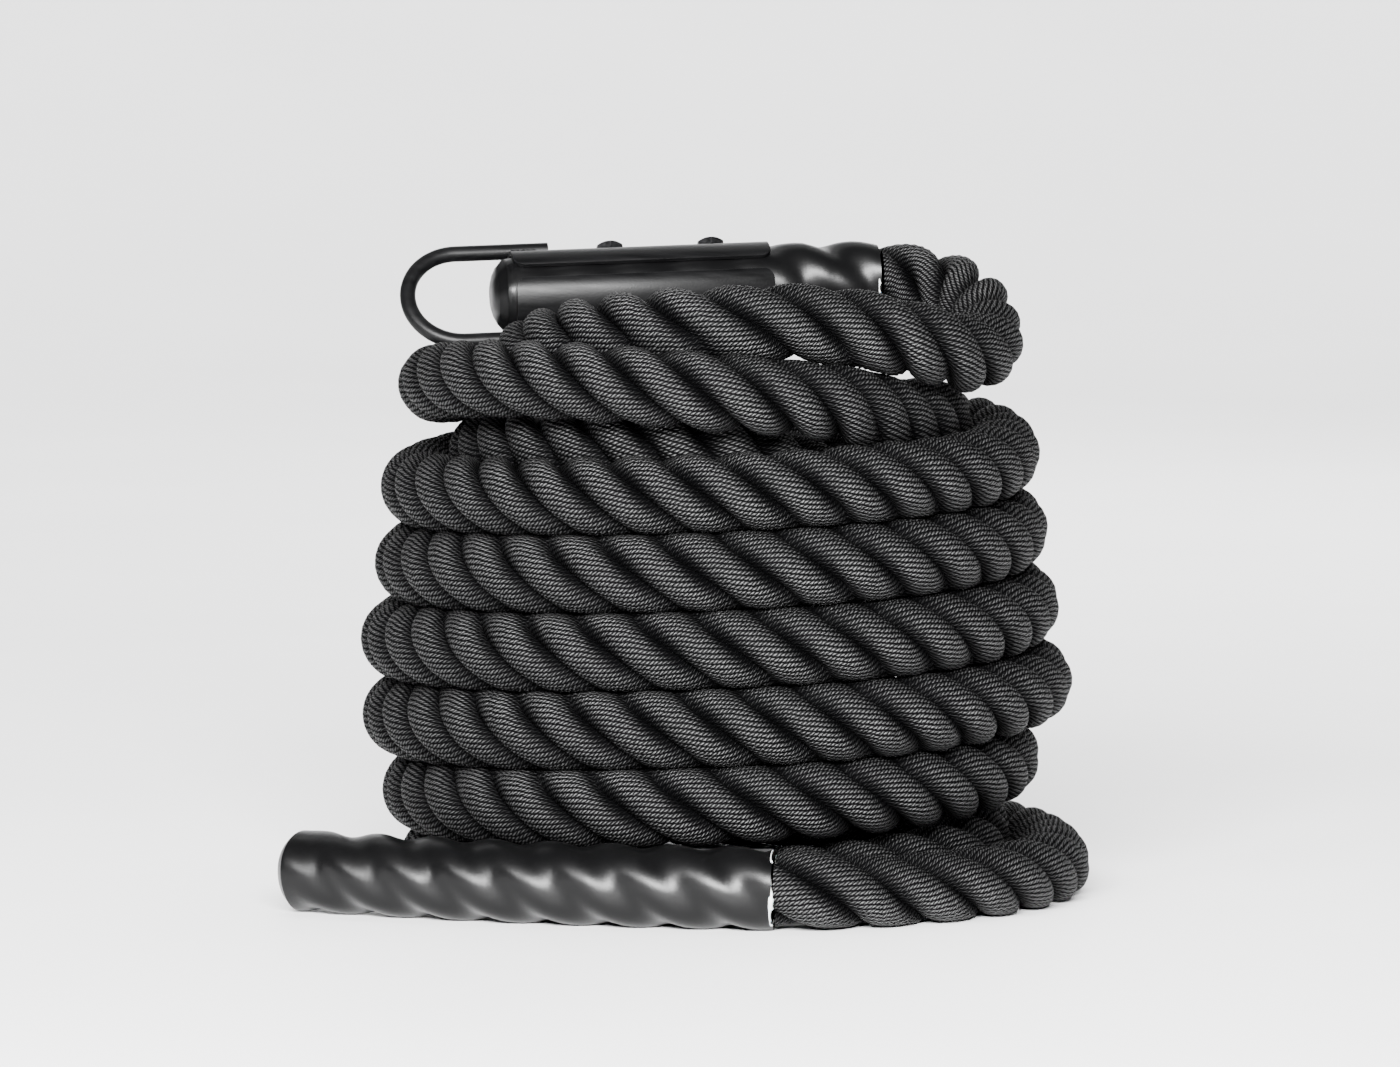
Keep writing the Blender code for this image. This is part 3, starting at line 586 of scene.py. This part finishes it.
def handle_axis(distances):
    """Points on the handle's gently curved axis, at distances from its closed end."""
    x, y, _ = on_coil([HANDLE_MOUTH_ANGLE], [(HANDLE_MOUTH_SHARE, 0)])[0]
    radius = HANDLE_LENGTH / HANDLE_BEND
    yaw = HANDLE_MOUTH_YAW - (HANDLE_LENGTH - np.asarray(distances)) / radius
    return np.column_stack([
        x + radius * (np.sin(yaw) - math.sin(HANDLE_MOUTH_YAW)),
        y - radius * (np.cos(yaw) - math.cos(HANDLE_MOUTH_YAW)),
        np.full(len(yaw), HANDLE_RADIUS),
    ])


def hook_matrix():
    """The hook fitting's frame about the coil's axis: +X towards the mouth, +Z up."""
    along = Vector((
        math.cos(HOOK_RISE) * math.cos(HOOK_YAW),
        math.cos(HOOK_RISE) * math.sin(HOOK_YAW),
        math.sin(HOOK_RISE),
    ))
    across = Vector((0, 0, 1)).cross(along).normalized()
    turn = Matrix((along, across, along.cross(across))).transposed().to_4x4()
    return Matrix.Translation(HOOK_PLACE) @ turn


def hook_axis(distances):
    frame_of_hook = hook_matrix()
    return np.array([frame_of_hook @ Vector((distance, 0, 0)) for distance in distances])


def softened(line, passes):
    line = line.copy()
    for _ in range(passes):
        line[1:-1] = (line[:-2] + 2 * line[1:-1] + line[2:]) / 4
    return line


def whole_line():
    """The rope's middle line in even steps, and how far along it each step lies."""
    handle = handle_axis(np.linspace(0, HANDLE_LENGTH, HANDLE_POINTS))
    coil = coil_route(np.arange(START_ANGLE, END_ANGLE + 1, ROUTE_STEP_ANGLE))
    hook = hook_axis(np.linspace(HOOK_SLEEVE_LENGTH, 0, HOOK_POINTS))
    first, last = unit(coil[1] - coil[0]), unit(coil[-1] - coil[-2])
    mouth_way = unit(handle[-1] - handle[-2])
    tail = route_between(handle[-1], mouth_way, coil[0], first, [], TAIL_POINTS)
    shares = np.array(LEAD_SHARES)
    inner = on_coil(shares[:, 0], shares[:, 1:])
    end = coil[-1] + last * END_RUN
    lead = route_between(end, last, hook[0], unit(hook[1] - hook[0]), inner, LEAD_POINTS)
    points = np.concatenate([handle, tail[1:-1], coil, lead, hook[1:]])
    along = np.concatenate([[0], np.cumsum(np.linalg.norm(np.diff(points, axis=0), axis=1))])
    at = np.linspace(0, along[-1], round(along[-1] / RING_STEP) + 1)
    even = np.column_stack([np.interp(at, along, points[:, axis]) for axis in range(3)])
    return softened(even, SOFTENING_PASSES) + np.array(COIL_AXIS), at


class RopeFrames:
    """Places and directions along the rope, and how far the strands have turned there."""

    def __init__(self):
        self.points, self.along = whole_line()
        self.length = self.along[-1]
        ways = np.gradient(self.points, axis=0)
        ways /= np.linalg.norm(ways, axis=1)[:, None]
        self.ways = ways
        up = np.array([0.0, 0.0, 1.0]) - ways * ways[:, 2:]
        self.ups = up / np.linalg.norm(up, axis=1)[:, None]
        self.sides = np.cross(ways, self.ups)
        hook_start = self.length - HOOK_SLEEVE_LENGTH
        free = np.minimum(self.along - HANDLE_LENGTH, hook_start - self.along)
        lay = np.interp(free, (0, LAY_CHANGE), (SLEEVE_LAY_LENGTH, COIL_LAY_LENGTH))
        step = self.along[1] - self.along[0]
        places, shifts = np.array(STRAND_SHIFTS).T
        held = np.clip(self.along, places[0], places[-1])
        shift = smooth_curve(places, shifts[:, None], held)[:, 0]
        even_turns = np.cumsum(2 * math.pi * step / lay)
        self.turns = FIRST_STRAND + even_turns - 2 * math.pi * shift / COIL_LAY_LENGTH

    def at(self, distance):
        """Point, up, side and strand turn at one distance from the handle's closed end."""
        point, way, up, side = (
            np.array([np.interp(distance, self.along, row[:, axis]) for axis in range(3)])
            for row in (self.points, self.ways, self.ups, self.sides)
        )
        past = distance - min(max(distance, 0), self.length)
        return point + way * past, up, side, np.interp(distance, self.along, self.turns)


# Rope

def strand_outline():
    """One strand's outer side in the section, from groove to groove: how far out, and across."""
    def past_groove(angle):
        out = STRAND_OFFSET + STRAND_HALF_THICK * math.cos(angle)
        return STRAND_HALF_WIDE * math.sin(angle) - math.tan(math.pi / STRANDS) * out

    low, high = math.pi / 2, math.pi
    for _ in range(GROOVE_HALVINGS):
        middle = (low + high) / 2
        if past_groove(middle) < 0:
            low = middle
        else:
            high = middle
    angles = np.linspace(-low, low, STRAND_STEPS + 1)
    out = STRAND_OFFSET + STRAND_HALF_THICK * np.cos(angles)
    return out, STRAND_HALF_WIDE * np.sin(angles)


def nearest_turns(frames, side):
    """For each ring, the way to the turn just above or below it and half the distance to it."""
    apart = frames.points[None] - frames.points[:, None]
    distance = np.linalg.norm(apart, axis=2)
    same_run = np.abs(frames.along[None] - frames.along[:, None]) < SAME_RUN
    distance[same_run | (side * apart[..., 2] < NEXT_TURN_RISE * distance)] = NO_TURN
    nearest = distance.argmin(axis=1)
    rings = np.arange(len(nearest))
    reach = distance[rings, nearest]
    return apart[rings, nearest] / reach[:, None], reach / 2


def pressed_together(grid, centres, way, half_gap):
    """The section's points moved out to the plane midway to the next turn, in a band facing it."""
    arm = grid - centres[:, None]
    radius = np.linalg.norm(arm, axis=2)
    facing = np.clip((arm * way[:, None]).sum(axis=2) / radius, LEAST_FACING, 1)
    close = np.clip((PRESS_REACH - half_gap) / PRESS_FADE, 0, 1)[:, None]
    band = facing ** PRESS_BAND_POWER * close
    swell = np.maximum(0, np.minimum(half_gap[:, None] / facing, PRESS_REACH) - radius)
    return centres[:, None] + arm * (1 + band * swell / radius)[..., None]


def pressed_flat(heights):
    """Heights with the rope's underside squeezed flat on the floor."""
    lowest = FLOOR_LINE - ROPE_RADIUS
    share = np.clip((heights - lowest) / (PRESS_HEIGHT - lowest), 0, 1)
    power = (PRESS_HEIGHT - lowest) / (PRESS_HEIGHT - FLAT_HEIGHT)
    pressed = FLAT_HEIGHT + (PRESS_HEIGHT - FLAT_HEIGHT) * share ** power
    return np.where(heights < PRESS_HEIGHT, pressed, heights)


def strand_grid(frames, rings, out, across):
    """For each ring of the rope, the points of its strands' outer sides, one after another."""
    points, along = frames.points[rings], frames.along[rings]
    ups, sides = frames.ups[rings], frames.sides[rings]
    hook_start = frames.length - HOOK_SLEEVE_LENGTH
    free = np.minimum(along - HANDLE_LENGTH, hook_start - along)
    size = np.interp(free, SLEEVE_SQUEEZE, (SLEEVED_SHARE, 1.0))
    corners = []
    for strand in range(STRANDS):
        turn = (frames.turns[rings] + 2 * math.pi * strand / STRANDS)[:, None]
        outwards = np.cos(turn) * ups + np.sin(turn) * sides
        sideways = np.cos(turn) * sides - np.sin(turn) * ups
        wave = sum(np.sin(along * pace + shift * strand) for pace, shift in PLUMP_WAVES)
        for far, wide in zip(out[:-1], across[:-1]):
            reach = (size * (1 + PLUMP * wave * (far > STRAND_OFFSET)))[:, None]
            corners.append(points + reach * (outwards * far + sideways * wide))
    grid = np.stack(corners, axis=1)
    for side in (-1, 1):
        way, half_gap = nearest_turns(frames, side)
        grid = pressed_together(grid, points, way[rings], half_gap[rings])
    grid[..., 2] = pressed_flat(grid[..., 2])
    return grid


def tube_faces(ring_count, sides):
    """Faces from each ring to the next, and one over each end."""
    here = np.arange(ring_count - 1)[:, None] * sides
    this = np.arange(sides)[None]
    following = (this + 1) % sides
    corners = [here + this, here + following, here + sides + following, here + sides + this]
    faces = np.stack(corners, axis=2).reshape(-1, 4).tolist()
    last_ring = (ring_count - 1) * sides
    return faces + [list(range(sides))[::-1], [last_ring + side for side in range(sides)]]


def lay_out_strands(mesh, along, out, across):
    """A UV map in metres: U along the rope, V across each strand, from its crown."""
    arc = np.concatenate([[0], np.cumsum(np.hypot(np.diff(out), np.diff(across)))])
    arc -= arc[-1] / 2
    steps = np.repeat(np.arange(STRANDS), STRAND_STEPS) * STRAND_V_STEP
    shape = (len(along) - 1, len(steps))
    low, high, near, far = (np.broadcast_to(each, shape) for each in (
        np.tile(arc[:-1], STRANDS) + steps, np.tile(arc[1:], STRANDS) + steps,
        along[:-1, None], along[1:, None],
    ))
    table = np.stack([near, low, near, high, far, high, far, low], axis=2).reshape(-1)
    caps = np.zeros(len(mesh.loops) * 2 - len(table))
    uv = mesh.uv_layers.new(name="strand")
    uv.data.foreach_set("uv", np.concatenate([table, caps]).astype(np.float32))


def strand_mesh(name, frames, start, end):
    """One closed mesh of all the strands, from one distance along the rope to another."""
    rings = np.flatnonzero((frames.along >= start) & (frames.along <= end))
    out, across = strand_outline()
    grid = strand_grid(frames, rings, out, across)
    mesh = bpy.data.meshes.new(name)
    mesh.from_pydata(grid.reshape(-1, 3).tolist(), [], tube_faces(*grid.shape[:2]))
    lay_out_strands(mesh, frames.along[rings], out, across)
    mesh.shade_smooth()
    mesh.set_sharp_from_angle(angle=STRAND_CREASE)
    obj = bpy.data.objects.new(name, mesh)
    bpy.context.scene.collection.objects.link(obj)
    return obj, frames.points[rings]


# Modelling helpers

def only(obj):
    bpy.ops.object.select_all(action="DESELECT")
    obj.select_set(True)
    bpy.context.view_layer.objects.active = obj
    return obj


def start_edit(obj, action="DESELECT"):
    only(obj)
    bpy.ops.object.mode_set(mode="EDIT")
    bpy.ops.mesh.select_all(action=action)


def end_edit(obj):
    bpy.ops.object.mode_set(mode="OBJECT")
    return obj


def select(obj, kind, test):
    """Selects the vertices, edges or faces that pass the test, and nothing else."""
    bpy.ops.mesh.select_mode(type=kind)
    bpy.ops.mesh.select_all(action="DESELECT")
    work = bmesh.from_edit_mesh(obj.data)
    for thing in {"VERT": work.verts, "EDGE": work.edges, "FACE": work.faces}[kind]:
        if test(thing):
            thing.select_set(True)
    bmesh.update_edit_mesh(obj.data)


def named(name):
    obj = bpy.context.object
    obj.name = name
    obj.data.name = name
    return obj


def apply_modifier(obj, kind, **settings):
    modifier = obj.modifiers.new(kind.lower(), kind)
    for name, value in settings.items():
        setattr(modifier, name, value)
    only(obj)
    bpy.ops.object.modifier_apply(modifier=modifier.name)


def dress(obj, material, angle=40):
    obj.data.materials.clear()
    obj.data.materials.append(material)
    only(obj)
    bpy.ops.object.shade_smooth_by_angle(angle=math.radians(angle))
    return obj


def settle(obj, nodes):
    """The piece rides on the part and stands for these solids."""
    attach(obj, "root")
    if nodes:
        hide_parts(*nodes)


# Sleeves

def closed_sleeve(name, length, radius, cuts, rim):
    """A closed tube along +Z with many rings, its closed end at the bottom with a rounded rim."""
    bpy.ops.mesh.primitive_cylinder_add(
        vertices=SLEEVE_SIDES, radius=radius, depth=length, location=(0, 0, length / 2)
    )
    sleeve = named(name)
    bpy.ops.object.transform_apply(location=True)
    start_edit(sleeve)
    select(sleeve, "FACE", lambda face: face.normal.z > 0.9)
    bpy.ops.mesh.delete(type="ONLY_FACE")
    select(sleeve, "EDGE", lambda edge: edge.calc_length() > length / 2)
    bpy.ops.mesh.subdivide(number_cuts=cuts)
    select(sleeve, "FACE", lambda face: face.normal.z < -0.9)
    for share in CAP_RING_SHARES:
        bpy.ops.mesh.inset(thickness=radius * share)
    select(sleeve, "EDGE", lambda edge: all(
        vert.co.z < SEAT and abs(math.hypot(vert.co.x, vert.co.y) - radius) < SEAT
        for vert in edge.verts
    ))
    bpy.ops.mesh.bevel(offset=rim, segments=RIM_STEPS, affect="EDGES")
    return end_edit(sleeve)


def shrink_on(sleeve, frames, radius, groove, swell, length, start, cap, flat, from_hook):
    """Moves the sleeve's points onto the rope: domed end, swell, grooves between the strands."""
    places, factors = zip(*swell)
    groove_places, groove_depths = zip(*groove)
    rest = (length - start - cap) / length
    for vert in sleeve.data.vertices:
        share = min(1, math.hypot(vert.co.x, vert.co.y) / radius)
        edge = max(0, (share - flat) / (1 - flat))
        dome = cap * edge ** (HOOK_CAP_CURVE if from_hook else HANDLE_CAP_CURVE)
        distance = start + dome + vert.co.z * rest
        point, up, side, turn = frames.at(frames.length - distance if from_hook else distance)
        angle = math.atan2(vert.co.y, vert.co.x) * (-1 if from_hook else 1)
        lobe = (1 - math.cos(STRANDS * (angle - turn))) / 2
        fade = min(1, max(0, (distance - start - cap) / GROOVE_FADE))
        depth = np.interp(distance / length, groove_places, groove_depths)
        depth *= (fade + cap / GROOVE_FADE * (1 - fade)) * lobe ** GROOVE_ROUNDNESS
        if from_hook:
            ripple = Vector((
                CRUMPLES_AROUND * math.cos(angle),
                CRUMPLES_AROUND * math.sin(angle),
                CRUMPLES_ALONG * distance,
            ))
            depth += CRUMPLE * (1 - fade) * (noise.noise(ripple) + CRUMPLE_SUNK)
        reach = np.interp(distance / length, places, factors) * radius - depth
        way = math.cos(angle) * up + math.sin(angle) * side
        vert.co = point + way * reach * share
    sleeve.data.update()


def make_handle(frames, material):
    handle = closed_sleeve("handle_grip", HANDLE_LENGTH, HANDLE_RADIUS, HANDLE_RINGS, HANDLE_RIM)
    shrink_on(
        handle, frames, HANDLE_RADIUS, HANDLE_GROOVE, HANDLE_SWELL, HANDLE_LENGTH,
        HANDLE_START, HANDLE_CAP, HANDLE_FLAT_SHARE, from_hook=False,
    )
    apply_modifier(handle, "SOLIDIFY", thickness=SLEEVE_WALL, offset=-1)
    dress(handle, material, angle=28)
    settle(handle, ["handle_sleeve"])


def make_hook_sleeve(frames, material):
    sleeve = closed_sleeve(
        "hook_sleeve_skin", HOOK_SLEEVE_LENGTH, HOOK_SLEEVE_RADIUS, HOOK_RINGS, HOOK_RIM
    )
    shrink_on(
        sleeve, frames, HOOK_SLEEVE_RADIUS, HOOK_GROOVE, HOOK_SWELL, HOOK_SLEEVE_LENGTH,
        HOOK_START, HOOK_CAP, HOOK_FLAT_SHARE, from_hook=True,
    )
    apply_modifier(sleeve, "SOLIDIFY", thickness=SLEEVE_WALL, offset=-1)
    dress(sleeve, material)
    settle(sleeve, ["hook_sleeve"])


def make_glue(name, node, frames, along, way, radius, spot, spot_size, material):
    """A ring of glue in a sleeve's mouth, in small lumps and thickest towards the spot."""
    bpy.ops.mesh.primitive_torus_add(
        major_radius=radius, minor_radius=GLUE_BEAD_RADIUS, major_segments=72, minor_segments=8
    )
    ring = named(name)
    point, up, side, _ = frames.at(along)
    outward = np.cross(up, side) * way
    for vert in ring.data.vertices:
        angle = math.atan2(vert.co.y, vert.co.x)
        turned = Vector((math.cos(angle), math.sin(angle), along))
        near_spot = math.exp(-GLUE_SPOT_NARROWNESS * (1 - math.cos(angle - spot)))
        lump = GLUE_LUMP * max(0, noise.noise(turned * GLUE_LUMPS_AROUND))
        lump += GLUE_LEAST + spot_size * near_spot
        out = math.hypot(vert.co.x, vert.co.y)
        rise = (GLUE_BEAD_RADIUS + vert.co.z) * lump - GLUE_SUNK
        radial = math.cos(angle) * up + math.sin(angle) * side
        vert.co = point + radial * (radius + (out - radius) * lump) + outward * rise
    ring.data.update()
    dress(ring, material)
    start_edit(ring, "SELECT")
    bpy.ops.mesh.normals_make_consistent(inside=False)
    end_edit(ring)
    settle(ring, [node])


# Clamp and bail, modelled along +X in the clamp's own frame, then set in place

def clamp_matrix():
    lean = Matrix.Rotation(-CLAMP_LEAN, 4, "X")
    return Matrix.Translation(COIL_AXIS) @ hook_matrix() @ lean


def set_in_clamp(obj):
    obj.data.transform(clamp_matrix() @ obj.matrix_world)
    obj.matrix_world = Matrix.Identity(4)
    return obj


def make_plate(name, node, turned, material):
    """A flat blank with round corners, bent round the sleeve and thickened outwards."""
    width = PLATE_ARC * PLATE_INNER_RADIUS
    bpy.ops.mesh.primitive_plane_add(size=1)
    plate = named(name)
    plate.scale = (PLATE_LENGTH, width, 1)
    bpy.ops.object.transform_apply(scale=True)
    start_edit(plate, "SELECT")
    bpy.ops.mesh.bevel(offset=PLATE_CORNER, segments=PLATE_CORNER_STEPS, affect="VERTICES")
    levels = [vert.co.y for vert in bmesh.from_edit_mesh(plate.data).verts if vert.co.x < 0]
    straight = width / 2 - PLATE_CORNER
    levels += list(np.linspace(-straight, straight, PLATE_CUTS)[1:-1])
    for level in levels:
        bpy.ops.mesh.select_all(action="SELECT")
        bpy.ops.mesh.bisect(plane_co=(0, level, 0), plane_no=(0, 1, 0))
    bpy.ops.mesh.select_all(action="SELECT")
    bpy.ops.mesh.remove_doubles(threshold=SEAT)
    end_edit(plate)
    for vert in plate.data.vertices:
        angle = vert.co.y / PLATE_INNER_RADIUS
        x = PLATE_START + PLATE_LENGTH / 2 + vert.co.x
        vert.co = (x, PLATE_INNER_RADIUS * math.sin(angle), PLATE_INNER_RADIUS * math.cos(angle))
    start_edit(plate, "SELECT")
    bpy.ops.mesh.extrude_region_move()
    swell = PLATE_OUTER_RADIUS / PLATE_INNER_RADIUS
    bpy.ops.transform.resize(value=(1, swell, swell), center_override=(0, 0, 0))
    bpy.ops.mesh.select_all(action="SELECT")
    bpy.ops.mesh.normals_make_consistent(inside=False)
    end_edit(plate)
    plate.data.transform(Matrix.Rotation(turned, 4, "X"))
    apply_modifier(
        plate, "BEVEL", width=PLATE_EDGE, segments=2,
        limit_method="ANGLE", angle_limit=math.radians(45),
    )
    dress(set_in_clamp(plate), material, angle=35)
    settle(plate, [node])


def make_bolt(name, node, x, material):
    """A hexagon head with a chamfered top, on a shank that ends under the nut."""
    under = PLATE_OUTER_RADIUS + SEAT
    top = under + HEAD_HEIGHT
    bpy.ops.mesh.primitive_cylinder_add(
        vertices=HEAD_SIDES, radius=HEX_RADIUS, depth=HEAD_HEIGHT,
        location=(0, 0, top - HEAD_HEIGHT / 2),
    )
    head = named(name)
    bpy.ops.object.transform_apply(location=True)
    start_edit(head)
    select(head, "FACE", lambda face: face.normal.z > 0.9)
    bpy.ops.mesh.inset(thickness=HEAD_CHAMFER)
    select(head, "VERT", lambda vert: (
        vert.co.z > top - SEAT and vert.co.xy.length > HEX_RADIUS - SEAT
    ))
    bpy.ops.transform.translate(value=(0, 0, -HEAD_DROP))
    for side in range(6):
        angle = side * math.pi / 3
        outward = Vector((math.cos(angle), math.sin(angle), 0))
        bpy.ops.mesh.select_all(action="SELECT")
        bpy.ops.mesh.bisect(
            plane_co=outward * HEX_HALF_WIDTH, plane_no=outward, use_fill=True, clear_outer=True
        )
    bpy.ops.mesh.select_all(action="SELECT")
    bpy.ops.transform.translate(value=(x, 0, 0))
    end_edit(head)
    tip = -(under + NUT_HEIGHT + THREAD_SHOWING)
    bpy.ops.mesh.primitive_cylinder_add(
        vertices=SHANK_SIDES, radius=BOLT_RADIUS, depth=under - tip,
        location=(x, 0, (under + tip) / 2),
    )
    shank = bpy.context.object
    bpy.ops.object.select_all(action="DESELECT")
    shank.select_set(True)
    head.select_set(True)
    bpy.context.view_layer.objects.active = head
    bpy.ops.object.join()
    dress(set_in_clamp(head), material, angle=30)
    settle(head, [node])


def make_bail(material):
    """Round bar: one leg, half a turn round the eye, and the other leg, with weld runs."""
    bpy.ops.mesh.primitive_circle_add(
        vertices=20, radius=BAIL_ROD_RADIUS, fill_type="NGON",
        location=(BAIL_LEG_END, 0, BAIL_HALF_WIDTH), rotation=(0, math.pi / 2, 0),
    )
    bail = named("round_bar_bail")
    bpy.ops.object.transform_apply(location=True, rotation=True)
    start_edit(bail, "SELECT")
    leg = BAIL_LEG_END + BAIL_LEG_PAST_SLEEVE
    bpy.ops.mesh.extrude_region_move(TRANSFORM_OT_translate={"value": (-leg, 0, 0)})
    bpy.ops.mesh.spin(steps=36, angle=math.pi, center=(-BAIL_LEG_PAST_SLEEVE, 0, 0), axis=(0, 1, 0))
    bpy.ops.mesh.extrude_region_move(TRANSFORM_OT_translate={"value": (leg, 0, 0)})
    bpy.ops.mesh.select_all(action="SELECT")
    bpy.ops.mesh.remove_doubles(threshold=SEAT / 100)
    bpy.ops.mesh.normals_make_consistent(inside=False)
    end_edit(bail)
    add_welds(bail)
    dress(set_in_clamp(bail), material, angle=35)
    settle(bail, ["bail"])


def add_welds(bail):
    """Overlapping beads of weld in the corner between each leg and its plate."""
    beads = []
    for level in (-1, 1):
        for side in (-1, 1):
            for bead in range(WELD_BEADS):
                x = PLATE_START + WELD_START + WELD_STEP * bead
                height = level * (PLATE_OUTER_RADIUS + WELD_ABOVE_PLATE)
                bpy.ops.mesh.primitive_uv_sphere_add(
                    segments=14, ring_count=9, radius=WELD_RADIUS,
                    location=(x, side * WELD_BESIDE_LEG, height),
                )
                blob = bpy.context.object
                blob.scale = WELD_SHAPE
                bpy.ops.object.transform_apply(location=True, scale=True)
                for vert in blob.data.vertices:
                    vert.co += WELD_UNEVEN * noise.noise_vector(vert.co * WELD_UNEVEN_SCALE)
                beads.append(blob)
    bpy.ops.object.select_all(action="DESELECT")
    for blob in beads:
        blob.select_set(True)
    bail.select_set(True)
    bpy.context.view_layer.objects.active = bail
    bpy.ops.object.join()


# Stage

def make_floor(material):
    """A pale floor that turns up into a wall far behind."""
    bpy.ops.mesh.primitive_plane_add(size=FLOOR_SIZE, location=FLOOR_CENTRE)
    floor = named("floor")
    bpy.ops.object.transform_apply(location=True)
    back = FLOOR_SIZE / 2
    start_edit(floor)
    select(floor, "EDGE", lambda edge: all(vert.co.y > back for vert in edge.verts))
    bpy.ops.mesh.extrude_region_move(TRANSFORM_OT_translate={"value": (0, 0, WALL_HEIGHT)})
    select(floor, "EDGE", lambda edge: all(
        vert.co.y > back and vert.co.z < WALL_HEIGHT / 2 for vert in edge.verts
    ))
    bpy.ops.mesh.bevel(offset=WALL_CURVE, segments=24, affect="EDGES")
    end_edit(floor)
    dress(floor, material)


add_camera()
frames = RopeFrames()
rope_yarn = rope_material()
hook_start = frames.length - HOOK_SLEEVE_LENGTH
free_rope, free_line = strand_mesh("pull_rope", frames, HANDLE_LENGTH, hook_start)
free_rope.data.materials.append(rope_yarn)
settle(free_rope, ["rope_tail", "rope_coil", "rope_lead"])
for end_name, node, low, high in (
    ("rope_in_handle", "rope_end_handle", HANDLE_START + 2 * HANDLE_CAP, HANDLE_LENGTH),
    ("rope_in_hook_sleeve", "rope_end_hook", hook_start, frames.length - ROPE_END_GAP),
):
    end_piece, _ = strand_mesh(end_name, frames, low, high)
    end_piece.data.materials.append(rope_yarn)
    settle(end_piece, [node])

black_sleeve = sleeve_material()
satin_paint = paint_material()
dark_steel = steel_material()
white_glue = glue_material()
make_handle(frames, black_sleeve)
make_hook_sleeve(frames, black_sleeve)
make_glue(
    "handle_glue", "glue_bead_handle", frames, HANDLE_LENGTH, 1,
    HANDLE_GLUE_RADIUS, HANDLE_GLUE_SPOT, HANDLE_GLUE_SPOT_SIZE, white_glue,
)
make_glue(
    "hook_glue", "glue_bead_hook", frames, hook_start, -1,
    HOOK_GLUE_RADIUS, HOOK_GLUE_SPOT, HOOK_GLUE_SPOT_SIZE, white_glue,
)
make_plate("upper_plate", "clamp_plate_upper", 0, satin_paint)
make_plate("lower_plate", "clamp_plate_lower", math.pi, satin_paint)
last_bolt = PLATE_START + PLATE_LENGTH - BOLT_FROM_PLATE_END
make_bolt("eye_side_bolt", "bolt_eye_side", last_bolt - BOLT_SPACING, dark_steel)
make_bolt("rope_side_bolt", "bolt_rope_side", last_bolt, dark_steel)
make_bail(satin_paint)
for nut in ("nut_eye_side", "nut_rope_side"):
    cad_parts[nut].data.materials.clear()
    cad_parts[nut].data.materials.append(dark_steel)

make_floor(floor_material())
add_light()
